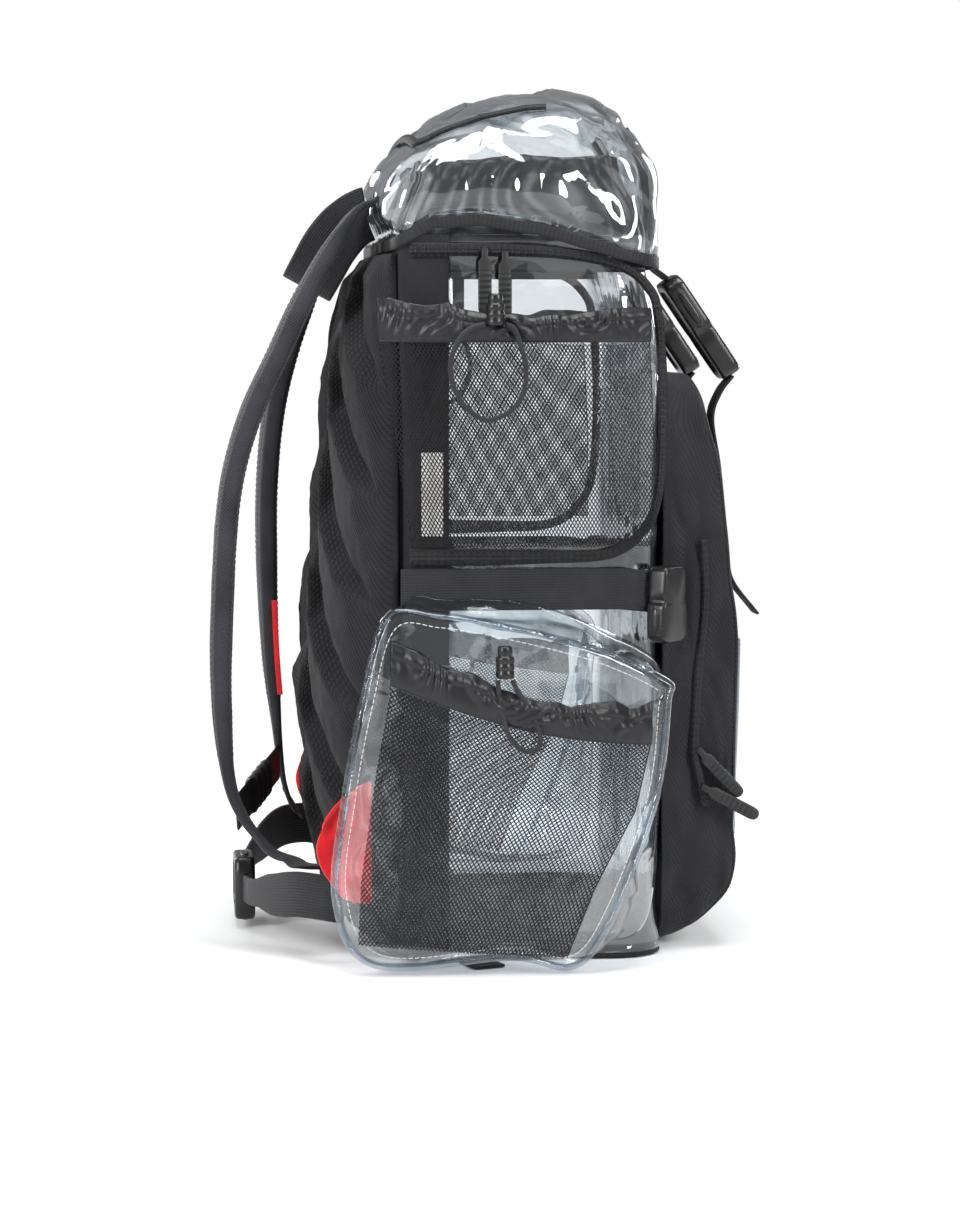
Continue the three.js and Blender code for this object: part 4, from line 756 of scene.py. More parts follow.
rows = np.array(FRAME_ROUTE)
chosen = np.column_stack([np.full(len(rows), WALL_X - FRAME_THICK / 2),
                          BODY_FRONT + 3.5 + (BODY_BACK - BODY_FRONT - 3.5) * rows[:, 0],
                          FRAME_FOOT + (FRAME_TOP - FRAME_FOOT) * rows[:, 1]])
frame_line = spline(chosen, 620)
frame_wide = np.minimum(FRAME_FOOT_WIDE,
                        FRAME_WIDE * np.interp(np.linspace(0, 11, 620), np.arange(12), rows[:, 2]))
frame_across = np.cross((1, 0, 0), heading(frame_line))
for side in SIDES:
    points, faces, uv = coil_band(frame_line, frame_across, frame_wide, -FRAME_THICK)
    facing_out(piece(f"zip_frame_{side}", points, faces, COIL, [f"zip_frame_{side}"], uv,
                     mirror=SIDES[side] < 0))
print("zip frame", round(length_along(frame_line)[-1]), "mm long")

# %% [markdown]
# ## Mesh pockets
# Knitted pocket net is a lattice of diamonds. Its crossings are placed on the pocket's surface at even
# steps, every second row half a step over, and each strand is a thin three-sided bar between two of them.
# The pitch is read from the photograph. The strands are 0.75 mm wide above and 0.8 mm below, which is
# coarser than real yarn, so that they show.

# %% Net
THREE = np.array([[1.0, 0.0], [-0.5, 0.87], [-0.5, -0.87]])


def net(name, surface, columns, rows, strand, side):
    """Diamond lattice on surface(u, v): crossings (i + half of every second row) / columns, j / rows, and a
    bar from each crossing to its two upper neighbours, built as three corners round each end."""
    j, i = np.meshgrid(np.arange(rows + 1), np.arange(columns + 1), indexing="ij")
    u = np.clip((i + 0.5 * (j % 2)) / columns, 0, 1)
    at = surface(u, j / rows)
    over = normals(at)
    lean = 1 - 2 * (j[:-1] % 2)  # even rows reach up and back, odd rows up and on
    mates = np.clip(i[:-1] - lean, 0, columns)
    starts = np.concatenate([at[:-1].reshape(-1, 3)] * 2)
    ends = np.concatenate([at[1:].reshape(-1, 3), at[j[:-1] + 1, mates].reshape(-1, 3)])
    face = np.concatenate([over[:-1].reshape(-1, 3)] * 2)
    keep = np.linalg.norm(ends - starts, axis=1) > strand
    starts, ends, face = starts[keep], ends[keep], face[keep]
    travel = unit(ends - starts)
    beside = unit(np.cross(travel, face))
    spread = THREE[None, :, 0, None] * face[:, None] * 0.5 + THREE[None, :, 1, None] * beside[:, None]
    spread = spread * strand / 2
    points = np.concatenate([starts[:, None] + spread, ends[:, None] + spread], 1)
    k = np.arange(3)
    bar = np.stack([k, (k + 1) % 3, (k + 1) % 3 + 3, k + 3], -1)
    n = len(points)
    faces = (bar[None] + 6 * np.arange(n)[:, None, None]).reshape(-1, 4)
    uv = points.reshape(-1, 3)[:, 1:]
    ob = piece(name, points, faces, NET, [name], uv, mirror=SIDES[side] < 0, smooth=False)
    print(name, n, "strands")
    return facing_out(ob)


# %% Upper mesh pocket
UPPER_MESH_TOP, UPPER_MESH_BULGE, MESH_WALL, CUFF_TALL = 372.0, 17.0, 1.0, 22.0


def upper_mesh(u, v, out=0.0):
    """From the back edge to the front edge, widening upward and standing off the wall as a root of a sine."""
    back = BODY_FRONT + 3 + (BODY_BACK + 4 - BODY_FRONT - 3) * np.interp(v, [0, 0.5, 1], [0.93, 0.99, 1.05])
    front = BODY_FRONT + 6 + (BODY_BACK - BODY_FRONT - 6) * np.interp(v, [0, 0.5, 1], [0.02, 0.02, 0.04])
    bulge = UPPER_MESH_BULGE * (0.35 + 0.65 * v) * np.sin(np.pi * np.clip(u, 0, 1)) ** 0.7
    x = WALL_X - FRAME_THICK - GAP - MESH_WALL - bulge - out
    low = FRAME_FOOT + FRAME_FOOT_WIDE / 2 + 1.2
    return np.stack(np.broadcast_arrays(x, back + (front - back) * u, low + (UPPER_MESH_TOP - low) * v), -1)


def slack_net(u, v, seed):
    """The upper pocket's surface with its net hanging in slow waves."""
    p = upper_mesh(u, v)
    p[..., 0] += (1.0 * noise(u * 5, v * 3, seed)
                  * np.sin(np.pi * np.clip(u, 0, 1)) * np.sin(np.pi * np.clip(v, 0.02, 1)))
    p[..., 2] += 1.2 * noise(u * 7 + 3, v * 2, seed + 1) * v
    return p


# Top edge of the gathered cuff along its width from the back, in millimetres above or below its mean.
UPPER_SCALLOP = [(0.0, 1.5), (0.04, 2.2), (0.09, 0.0), (0.21, -3.0), (0.25, -2.0), (0.39, -7.0),
                 (0.5, -7.0), (0.55, -9.0), (0.63, -7.5), (0.7, -6.5), (0.84, -4.0), (0.94, -3.0),
                 (1.0, -3.0)]


def cuff(name, edge, tall, scallop, side, seed, length):
    """A gathered cuff. It stands on the mesh's top edge, bellies out by a sine, and has upright creases of
    a wavering cosine and noise. Narrow bells press in the cord's channel and the hem."""
    u, v = np.meshgrid(np.linspace(0, 1, 200), np.linspace(0, 1, 24))
    p = edge(u)
    across, rise = zip(*scallop)
    top = tall + np.interp(u, across, rise)
    fold = (1.0 * np.cos(2 * np.pi * (15 * u + 1.8 * noise(u * 9, v * 1.2, seed)))
            + 1.9 * noise(u * 22 + v * 1.5, v * 1.6, seed + 1))
    fold = fold + 0.9 * noise(u * 36 - v, v * 2.2, seed + 2)
    belly = 2.6 * np.sin(np.pi * v) + 1.2 * np.exp(-(((v - 0.8) / 0.12) ** 2))
    channel = 0.5 * np.exp(-(((v - 0.66) / 0.03) ** 2)) + 0.8 * np.exp(-(((v - 0.06) / 0.04) ** 2))
    sag = 1.6 * noise(u * 13, 0 * v, seed + 3) * v
    out = belly + (0.35 + 0.65 * v) * fold * (0.3 + 0.7 * np.sin(np.pi * v)) - channel
    p = p + np.stack([-out, 0 * u, v * top + sag], -1)
    uv = np.stack([u * length, v * (tall + 8)], -1)
    ob = piece(name, p, cells(*p.shape[:2]), NYLON, [name], uv, mirror=SIDES[side] < 0)
    wall(ob, 0.9, 1.0)
    return ob


for k, side in enumerate(SIDES):
    net(f"mesh_upper_{side}", lambda u, v: slack_net(u, v, 50 + k), 68, 66, 0.75, side)
    cuff(f"cuff_upper_{side}", lambda u: upper_mesh(u, 1.0, 1.0) + [0, 0, GAP], CUFF_TALL + 2.0,
         UPPER_SCALLOP, side, 60 + 9 * k, 190.0)

# %% [markdown]
# ## Cord locks and zip pulls
# A lock is a barrel that is turned in a lathe's way: a profile of radius and height goes once round. Its
# spring button stands above it. Pulls are soft moulded tags on a metal loop.


# %% Lathe
def lathe(name, profile, centre, count, finish, nodes, mirror=False):
    """A profile of (radius, height) pairs turned once round an upright axis through centre."""
    a = np.linspace(0, 2 * np.pi, count, endpoint=False)
    r, h = np.asarray(profile, float).T
    points = np.stack([r[:, None] * np.cos(a), r[:, None] * np.sin(a),
                       np.broadcast_to(h[:, None], (len(h), count))], -1) + centre
    ends = [np.arange(count)[::-1][None], (np.arange(count) + count * (len(h) - 1))[None]]
    uv = np.stack(np.broadcast_arrays(a * r.max(), h[:, None]), -1)
    return facing_out(piece(name, points, [cells(len(h), count, wrap=True)] + ends, finish, nodes, uv,
                            mirror=mirror))


LOCK_PROFILE = [(0.3, -19), (4.2, -19), (5.1, -18.4), (5.5, -17.4), (5.5, -15), (5.1, -14.6), (5.1, -13.6),
                (5.5, -13.2), (5.5, -11), (5.1, -10.6), (5.1, -9.6), (5.5, -9.2), (5.5, -7.0), (5.2, -6.2),
                (4.3, -5.9), (4.2, -5.2), (4.4, -4.8), (4.4, -1.4), (4.0, -0.5), (3.0, 0.0), (0.3, 0.0)]
for side in SIDES:
    m = SIDES[side] < 0
    lathe(f"lock_upper_{side}", LOCK_PROFILE, (UPPER_CORD_X / MM, 23, 401), 28, ACETAL,
          [f"lock_upper_{side}"], m)
    lathe(f"lock_lower_{side}", LOCK_PROFILE, (LOWER_CORD_X / MM, 20.8, 197), 28, ACETAL,
          [f"lock_lower_{side}"], m)


# %% Pulls
def pull(name, place, long, wide, thick, swing=0.0, mirror=False):
    """A zip pull in the YZ plane hung from place. Stations down its length give its width and thickness, so
    it has a waist under its loop, a ridged grip and a round foot. swing turns it forward."""
    s = np.linspace(0, 1, 80)
    half = wide / 2 * np.interp(s, [0, 0.02, 0.14, 0.2, 0.9, 0.97, 1], [0.3, 0.5, 0.52, 1.0, 1.0, 0.8, 0.3])
    grip = 0.14 * np.cos(2 * np.pi * (s - 0.3) * 12) * (ease(0.3, 0.34, s) - ease(0.84, 0.9, s))
    deep = thick * (0.86 + grip - 0.5 * ease(0.94, 1, s) - 0.4 * ease(0.12, 0, s))
    route = np.column_stack([np.zeros(80), -np.sin(swing) * s * long, -np.cos(swing) * s * long]) + place
    points, faces, uv = sweep(route, (0, math.cos(swing), -math.sin(swing)), 2 * half, deep, oval(20, 0.55))
    return facing_out(piece(name, points, faces, RUBBER, [name], uv, mirror=mirror))


PULL_LONG, PULL_WIDE, PULL_THICK = 40.0, 8.0, 3.0
FRONT_HALF = 126.0
pull_x = WALL_X - FRAME_THICK - GAP - PULL_THICK / 2
for side in SIDES:
    pull(f"zip_pull_back_{side}", (pull_x, 27, 428), PULL_LONG, PULL_WIDE, PULL_THICK, 0.0, SIDES[side] < 0)
    pull(f"zip_pull_front_{side}", (pull_x, 15, 426), PULL_LONG, PULL_WIDE, PULL_THICK, 0.0, SIDES[side] < 0)
pull("front_pull_upper", (3.6 - FRONT_HALF - GAP - PULL_THICK / 2, -107, 124), PULL_LONG, PULL_WIDE,
     PULL_THICK, 0.75)
pull("front_pull_lower", (3.6 - FRONT_HALF - 2 * GAP - 1.5 * PULL_THICK, -109, 101), PULL_LONG, PULL_WIDE,
     PULL_THICK, 1.08)

# %% [markdown]
# ## Webbing and buckles
# Side-release buckles are moulded plates: an outline with a waist and two spring arms, blended from a flat
# middle to a round edge. The compression strap lies on the side wall and turns the front corner.

# %% Buckle
BUCKLE_OUTLINE = [(0.30, -0.50), (0.50, -0.42), (0.50, -0.02), (0.42, 0.04), (0.46, 0.16), (0.42, 0.44),
                  (0.30, 0.50), (-0.30, 0.50), (-0.42, 0.44), (-0.46, 0.16), (-0.42, 0.04), (-0.50, -0.02),
                  (-0.50, -0.42), (-0.30, -0.50)]
BUCKLE_LAYERS = [(0.05, -1.0), (0.88, -1.0), (0.95, -0.93), (0.99, -0.75), (1.0, -0.45), (1.0, 0.45),
                 (0.99, 0.75), (0.95, 0.93), (0.88, 1.0), (0.70, 1.0), (0.66, 0.80), (0.05, 0.80)]


def buckle(name, long, wide, thick, centre, across, lengthwise, mirror=False):
    """Layers of the outline, each a share of its size at a share of half the thickness, set in the frame
    of across, lengthwise and their cross product. The upper face has a sunk panel, as such buckles do."""
    count = 112
    o = np.asarray(BUCKLE_OUTLINE, float) * [wide, long]
    closed = np.concatenate([o, o[:1]])
    even = np.linspace(0, length_along(closed)[-1], count + 1)[:-1]
    ring = spline(o, count, closed=True) * 0.35 + along(closed, even) * 0.65
    a, l = unit(np.asarray(across, float)), unit(np.asarray(lengthwise, float))
    out = np.cross(a, l)
    inset = min(wide, long) * 0.5
    stack = []
    for share, high in BUCKLE_LAYERS:
        size = np.array([share, share])
        if share > 0.5:
            size = 1 - (1 - share) * np.array([inset / (wide / 2), inset / (long / 2)])
        flat = ring * size
        stack.append(flat[:, :1] * a + flat[:, 1:] * l + out * high * thick / 2)
    points = np.array(stack) + centre
    ends = [np.arange(count)[::-1][None], (np.arange(count) + count * (len(BUCKLE_LAYERS) - 1))[None]]
    uv = (points - centre)[..., :2]
    for k, sign in enumerate((-1, 1)):  # the spring arm's window and its press pad on each side
        s = np.linspace(-1, 1, 40)
        for part, reach, tall, proud in (("window", 0.2, 0.62, 0.15), ("arm", 0.16, 0.4, 1.3)):
            middle = centre + a * sign * (wide * 0.5 - 0.9) - l * long * 0.2
            route = middle + s[:, None] * reach * long * l
            bow = np.sqrt(np.clip(1 - s**4, 0.02, 1))
            route = route + a * sign * (proud * bow)[:, None]
            body, skin, at = sweep(route, out, thick * tall * bow, 2.4, oval(16, 0.7))
            facing_out(piece(f"{name}_{part}_{k + 1}", body, skin, RUBBER if part == "window" else ACETAL,
                             (), at, mirror=mirror))
    return facing_out(piece(name, points, [cells(len(points), count, wrap=True)] + ends, ACETAL,
                            [name], uv, mirror=mirror))


# %% Compression strap
WEBBING_WIDE, WEBBING_THICK = 25.0, 1.8
STRAP_TOP, BUCKLE_THICK, BUCKLE_TURN = 237.5, 13.0, math.radians(50)
middle = STRAP_TOP - WEBBING_WIDE / 2
reach = BODY_FRONT + FRONT_CORNER
turn = np.linspace(0, BUCKLE_TURN, 9)[1:]
r = FRONT_CORNER + GAP + WEBBING_THICK / 2
run = np.linspace(BODY_BACK - 1, reach, 40)
strap_line = np.concatenate([
    np.column_stack([np.full(40, WALL_X - WEBBING_THICK / 2), run, np.full(40, middle)]),
    np.column_stack([FRONT_CORNER - BODY_HALF - r * np.cos(turn), reach - r * np.sin(turn),
                     middle - 3 * turn / BUCKLE_TURN])])
r = FRONT_CORNER + 2 * GAP + WEBBING_THICK + BUCKLE_THICK / 2 + 0.1
buckle_at = (FRONT_CORNER - BODY_HALF - r * math.cos(BUCKLE_TURN), reach - r * math.sin(BUCKLE_TURN), 215)
for side in SIDES:
    m = SIDES[side] < 0
    points, faces, uv = sweep(strap_line, (0, 0, 1), WEBBING_WIDE, WEBBING_THICK)
    facing_out(piece(f"comp_strap_{side}", points, faces, WEBBING, [f"comp_strap_{side}"], uv,
                     mirror=m))
    buckle(f"comp_buckle_{side}", 46, 27, BUCKLE_THICK, buckle_at,
           (-math.sin(BUCKLE_TURN), math.cos(BUCKLE_TURN), 0), (0, 0, 1), m)

# %% [markdown]
# ## Lower bellows pocket
# Each clear pocket has an outline where it is sewn to the side and another where its gusset turns into its
# face. Rings run from the first to the second and then shrink to the middle of the face, and the face falls
# back toward the side with the cube of its distance from the middle. Welted seam strips follow the turn.

# %% Lower pocket
POCKET_FOOT, POCKET_TALL, POCKET_DEEP, POCKET_SPAN = 4.0, 216.0, 50.0, 80.0
POCKET_OUTLINE = np.array([
    [-0.98, 0.81, -0.97, 0.78], [-0.50, 0.92, -0.45, 0.87], [0.05, 0.99, 0.28, 0.94],
    [0.60, 1.00, 0.75, 0.97], [0.93, 0.99, 1.10, 0.965], [0.94, 0.75, 1.28, 0.74],
    [0.94, 0.47, 1.41, 0.475], [0.94, 0.20, 1.48, 0.19], [0.92, 0.03, 1.20, 0.015],
    [0.20, 0.03, 0.20, 0.035], [-0.50, 0.03, -0.27, 0.005], [-0.88, 0.08, -0.54, 0.13],
    [-0.98, 0.35, -0.88, 0.46], [-0.98, 0.62, -0.975, 0.73],
])  # on the side wall Y and Z, where the face turns Y and Z, as shares of the span and the height


def face_x(y, z):
    """Where the pocket's face lies: its full depth, less shares that grow with the cube of the distance."""
    across = np.abs(y - 20) / 100
    upright = np.abs(z - POCKET_FOOT - POCKET_TALL / 2) / (POCKET_TALL / 2)
    return WALL_X - WEBBING_THICK - 2 * GAP - POCKET_DEEP * (1 - 0.22 * across**3 - 0.12 * upright**3)


RING_COUNT = 260  # points round each ring of the pocket
GUSSET_ROWS, FACE_ROWS = 16, 34


def outline_ring(columns):
    """A smooth closed ring through two columns of the outline's table, in millimetres."""
    corners = POCKET_OUTLINE[:, columns] * [POCKET_SPAN, POCKET_TALL] + [0, POCKET_FOOT]
    return spline(corners, RING_COUNT, closed=True)


wall_ring, face_ring = outline_ring([0, 1]), outline_ring([2, 3])
turn_line = np.column_stack([face_x(face_ring[:, 0], face_ring[:, 1]), face_ring])
foot_line = np.column_stack([np.full(RING_COUNT, WALL_X - WEBBING_THICK - 2 * GAP), wall_ring])
heart = np.array([18.0, 100.0])
share = np.linspace(0, 1, GUSSET_ROWS)[:, None, None]
gusset = foot_line[None] * (1 - share) + turn_line[None] * share
draw = np.linspace(1, 0.02, FACE_ROWS)[1:, None, None]
flat = heart + (face_ring - heart)[None] * draw
face = np.concatenate([face_x(flat[..., 0], flat[..., 1])[..., None], flat], -1)
pocket = np.concatenate([gusset, face])
pocket_normal = unit(np.cross(np.roll(pocket, -1, 1) - np.roll(pocket, 1, 1), np.gradient(pocket, axis=0)))
ring_at = np.arange(RING_COUNT)[None] / RING_COUNT
level = np.concatenate([np.linspace(0, 1, GUSSET_ROWS), 1 + np.linspace(0, 1, FACE_ROWS)[1:]])[:, None]
for k, side in enumerate(SIDES):
    on_gusset = ease(0, 0.15, level) * ease(1.0, 0.85, level)
    on_face = ease(1.02, 1.2, level)
    fold = 3.6 * crumple(ring_at * 16, level * 1.6, 70 + k, 2) * on_gusset
    fold = fold + (1.1 * crumple(pocket[..., 1] / 40, pocket[..., 2] / 52, 75 + k, 2)
                   * on_face * ease(-1.0, 0.2, (pocket[..., 2] - 175) / 30))
    crushed = pocket - (np.clip(fold + 0.8 * (on_gusset + on_face), 0, 6))[..., None] * pocket_normal
    end = (np.arange(RING_COUNT) + RING_COUNT * (len(pocket) - 1))[None]
    ob = piece(f"lower_pocket_{side}", crushed, [cells(len(pocket), RING_COUNT, wrap=True), end], VINYL,
               [f"lower_pocket_{side}"], pocket[..., 1:], mirror=SIDES[side] < 0)
    facing_out(ob)
    wall(ob, 0.9)
print("lower pocket", len(ob.data.polygons), "faces")


# %% Welted seams and stitches
def dashes(name, route, out, long, gap, thick, finish, mirror=False):
    """Stitches: bars of a given length and gap along a route. Each is a five-sided tube over five stations,
    bowed outward by half a sine wave."""
    run = length_along(route)
    count = int(run[-1] // (long + gap))
    starts = np.arange(count) * (long + gap)
    t = np.linspace(0, 1, 5)
    at = starts[:, None] + t * long
    mid = np.stack([np.interp(at, run, route[:, k]) for k in range(3)], -1)
    lift = np.stack([np.interp(at, run, out[:, k]) for k in range(3)], -1)
    travel = unit(np.gradient(mid, axis=1))
    side_way = unit(np.cross(travel, lift))
    bow = (np.sin(np.pi * t) * thick * 0.6)[None, :, None]
    a = np.linspace(0, 2 * np.pi, 5, endpoint=False)
    round_bar = np.cos(a)[:, None] * side_way[:, :, None] + np.sin(a)[:, None] * lift[:, :, None]
    points = (mid + lift * bow)[:, :, None] + thick / 2 * round_bar
    one = cells(5, 5, wrap=True)
    faces = (one[None] + 25 * np.arange(count)[:, None, None]).reshape(-1, 4)
    caps = np.array([np.arange(5)[::-1], np.arange(5) + 20])[None] + 25 * np.arange(count)[:, None, None]
    return facing_out(piece(name, points, [faces, caps.reshape(-1, 5)], finish, (),
                            points.reshape(-1, 3)[:, 1:], mirror=mirror))


seam_out = unit(turn_line - np.array([WALL_X + 20, 20, 105]))
for side in SIDES:
    m = SIDES[side] < 0
    points, faces, uv = sweep(turn_line + seam_out * 0.9, np.cross(heading(turn_line, True), seam_out), 4.2,
                              1.6, FLAT, closed=True)
    facing_out(piece(f"pocket_welt_{side}", points, faces, VINYL_SEAM, (), uv, mirror=m))
    inner = turn_line * 0.94 + np.array([WALL_X - 30, heart[0], heart[1]]) * 0.06
    inner[:, 0] = face_x(inner[:, 1], inner[:, 2]) - 0.2
    dashes(f"pocket_stitch_{side}", inner, np.tile([-1.0, 0.0, 0.0], (RING_COUNT, 1)), 2.4, 1.3, 0.5,
           CLEAR_THREAD, m)

# %% Lower mesh and cuff
LOWER_EDGES = [
    {"high": 0.00, "backY": 1.32, "frontY": -0.22, "backZ": 0.07, "frontZ": 0.03},
    {"high": 0.25, "backY": 1.30, "frontY": -0.42, "backZ": 0.25, "frontZ": 0.22},
    {"high": 0.60, "backY": 1.20, "frontY": -0.72, "backZ": 0.52, "frontZ": 0.43},
    {"high": 1.00, "backY": 1.08, "frontY": -0.84, "backZ": 0.78, "frontZ": 0.61},
]
SAG = 0.035


def lower_mesh(u, v, out=0.0):
    """Between the mesh's back and front edges, sagging with its height, a little in front of the face."""
    u, v = np.broadcast_arrays(np.asarray(u, float), np.asarray(v, float))
    y = POCKET_SPAN * (column(LOWER_EDGES, "backY", v) * (1 - u) + column(LOWER_EDGES, "frontY", v) * u)
    high = column(LOWER_EDGES, "backZ", v) * (1 - u) + column(LOWER_EDGES, "frontZ", v) * u
    z = POCKET_FOOT + POCKET_TALL * (high - SAG * v * np.sin(np.pi * u))
    bulge = 0.3 + 5 * np.clip(np.sin(np.pi * u), 0, 1) ** 0.6 * (0.3 + 0.7 * v)
    return np.stack([face_x(y, z) - MESH_WALL - bulge - out, y, z], -1)


def slack_lower(u, v, seed):
    p = lower_mesh(u, v)
    p[..., 0] += 0.8 * noise(u * 5, v * 4, seed) * np.sin(np.pi * np.clip(u, 0, 1))
    p[..., 2] += 1.5 * noise(u * 6 + 3, v * 3, seed + 1) * v
    return p


LOWER_SCALLOP = [(0.0, 1.0), (0.1, 1.5), (0.2, -1.5), (0.31, 1.0), (0.4, -3.0), (0.5, -5.0), (0.55, -6.0),
                 (0.62, -2.5), (0.68, -6.0), (0.77, -1.0), (0.86, 0.0), (0.92, -4.0), (1.0, 3.0)]
for k, side in enumerate(SIDES):
    net(f"mesh_lower_{side}", lambda u, v: slack_lower(u, v, 80 + k), 54, 90, 0.8, side)
    cuff(f"cuff_lower_{side}", lambda u: lower_mesh(u, 1.0, 1.0) + [0, 0, GAP + 0.2], CUFF_TALL + 1.5,
         LOWER_SCALLOP, side, 90 + 9 * k, 200.0)

# %% [markdown]
# ## Front pocket
# The front panel is dark twill over a soft box: a rounded outline is drawn out by the pocket's own profile
# and then in to the middle. Piping and two rows of stitches mark the boot seam at its foot, and a side zip
# bends with the panel's edge.

# %% Front pocket
FRONT_FOOT, FRONT_TALL, FRONT_DEEP, FRONT_SEAM = 3.0, 350.0, 48.0, 0.5
FRONT_PROFILE = [(0.0, 0.30), (0.04, 0.62), (0.12, 0.96), (0.30, 0.96), (0.55, 1.0), (0.72, 0.90),
                 (0.84, 0.76), (0.92, 0.60), (1.0, 0.54)]
FRONT_RINGS = [(0.0, 1.0), (0.25, 1.004), (0.55, 1.002), (0.85, 1.0), (0.93, 0.996), (0.98, 0.985),
               (1.0, 0.96), (1.0, 0.90), (1.0, 0.82), (1.0, 0.74), (1.0, 0.66), (1.0, 0.55), (1.0, 0.44),
               (1.0, 0.33), (1.0, 0.2), (1.0, 0.08), (1.0, 0.01)]


def front_out(z):
    """The panel's depth at a height: a smooth curve through the profile's shares, read at each z."""
    high, out = np.array(FRONT_PROFILE).T
    knots = spline(np.column_stack([high, out, 0 * high]), 120)
    return FRONT_DEEP * np.interp((z - FRONT_FOOT) / FRONT_TALL, knots[:, 0], knots[:, 1])


def front_ring(share, inward, count=250):
    """The outline's points, share of the depth out and drawn in to the middle by inward."""
    top = FRONT_FOOT + FRONT_TALL
    ring = round_box(FRONT_HALF - 8 * share, top, FRONT_FOOT, 40.0, 30.0, count + 1)[:-1]
    x = ring[:, 0] * inward
    z = (top + FRONT_FOOT) / 2 * (1 - inward) + ring[:, 1] * inward
    y = BODY_FRONT - 2 * GAP - FRONT_SEAM - share * front_out(z) - 4 * (1 - inward**2)
    return np.column_stack([x, y, z])


rings = spline(np.column_stack([np.array(FRONT_RINGS), np.zeros(len(FRONT_RINGS))]), 90)
front = np.array([front_ring(out, draw) for out, draw, _ in rings])
sag = (2.2 * crumple(front[..., 0] / 70, front[..., 2] / 110, 110, 2)
       + 1.6 * noise(front[..., 0] / 30, front[..., 2] / 60, 113))
front[..., 1] += sag * ease(0, 20, BODY_FRONT - front[..., 1])
dent = (2.4 * crumple(front[..., 1] / 26 + 5, front[..., 2] / 70, 117, 2)
        * ease(0, 12, BODY_FRONT - front[..., 1]) * ease(105, 120, np.abs(front[..., 0])))
front[..., 0] -= np.sign(front[..., 0]) * np.clip(dent + 1, 0, 5)
boot = 89.0  # height of the seam between the boot and the panel
seam_dip = 1.2 * np.exp(-(((front[..., 2] - boot) / 1.6) ** 2)) * ease(-95, -112, front[..., 1])
front[..., 1] += seam_dip
count = front.shape[1]
end = (np.arange(count) + count * (len(front) - 1))[None]
ob = piece("front_pocket", front, [cells(len(front), count, wrap=True), end], PACK_CLOTH,
           ["front_pocket"],
           np.stack([np.abs(front[..., 0]) + BODY_FRONT - front[..., 1], front[..., 2]], -1))
facing_out(ob)
wall(ob, 1.4)
print("front pocket", len(ob.data.polygons), "faces")

# %% Front pocket's trims
ring_at = np.argmin(np.abs(rings[:, 1] - 0.975) + 10 * (rings[:, 0] < 0.97))
pipe = front[ring_at]
outward = unit(pipe - [0, BODY_FRONT + 60, 178])
points, faces, uv = sweep(pipe + outward * 0.3, np.cross(heading(pipe, True), outward), 2.4, 1.8, oval(10, 1),
                          closed=True)
facing_out(piece("front_piping", points, faces, BINDING, (), uv))


def on_front(x, z, out):
    """Points on the front panel: the y of its face at a height, at the panel's own narrowing."""
    return np.column_stack([x, BODY_FRONT - 2 * GAP - FRONT_SEAM - front_out(z) - out + 0 * x, z])


across = np.linspace(-111, 111, 160)
for k, z in enumerate((boot + 3.2, boot - 3.6)):
    line = on_front(across, np.full(len(across), z), 3.3)
    line[:, 1] += 4 * (np.abs(across) / 118) ** 2
    dashes(f"boot_stitch_{k + 1}", line, np.tile([0.0, -1.0, 0.0], (len(across), 1)), 2.6, 1.4, 0.7, THREAD)

side_zip = spline(np.array([[0, -110.5, 252], [0, -111.8, 215], [0, -107.7, 170], [0, -105.5, 126],
                            [0, -108.1, 108], [0, -112.5, 88]]), 220)
for sign in (-1, 1):
    edge = side_zip.copy()
    reach = np.clip((BODY_FRONT - 1.1 - edge[:, 1]) / front_out(edge[:, 2]), 0, 1)
    edge[:, 0] = sign * (FRONT_HALF - 8 * reach + 0.9)
    points, faces, uv = coil_band(edge, np.cross(heading(edge), (sign, 0, 0)), 5.5, 1.6 * sign)
    facing_out(piece(f"front_zip_{'right' if sign > 0 else 'left'}", points, faces, COIL, (), uv))

# %% Front window
WINDOW_FOOT, WINDOW_TALL, WINDOW_HALF = 66.0, 122.0, 92.0
u, v = np.meshgrid(np.linspace(0, 1, 60), np.linspace(0, 1, 40))
window = np.stack([WINDOW_HALF * (2 * u - 1),
                   BODY_FRONT - GAP - FRONT_DEEP - 3.2 - 2.5 * v - 0.6 * crumple(u * 5, v * 4, 120, 2) * v,
                   WINDOW_FOOT + WINDOW_TALL * v], -1)
ob = piece("front_window", window, cells(*window.shape[:2]), VINYL, ["front_window"],
           np.stack([u * 184, v * 122], -1))
wall(ob, 0.7, 1.0)

# %% [markdown]
# ## Lid straps
# Each strap is sewn down the front of the lid, runs to its buckle, and leaves the buckle as a free tail.

# %% Lid straps
LID_STRAP_X, BUCKLE_LONG, BUCKLE_FROM_Y = -75.0, 71.0, LID_FRONT - 13.5
STRAP_OFF_LID = WEBBING_THICK / 2 + 4 * GAP
LID_TAIL_ROUTE = [(1.051, 0.995), (0.89, 0.965), (0.79, 0.92), (0.88, 0.837), (0.955, 0.740), (1.0, 0.671),
                  (1.08, 0.628), (1.40, 0.572)]


def lid_front(v):
    """The lid's outline is walked once, and the place across is found where x passes the strap's line."""
    walk = np.linspace(0.25, 0.5, 400)
    edge = lid_surface(walk, np.full(400, v), STRAP_OFF_LID)
    return edge[np.argmin(np.abs(edge[:, 0] - LID_STRAP_X))]


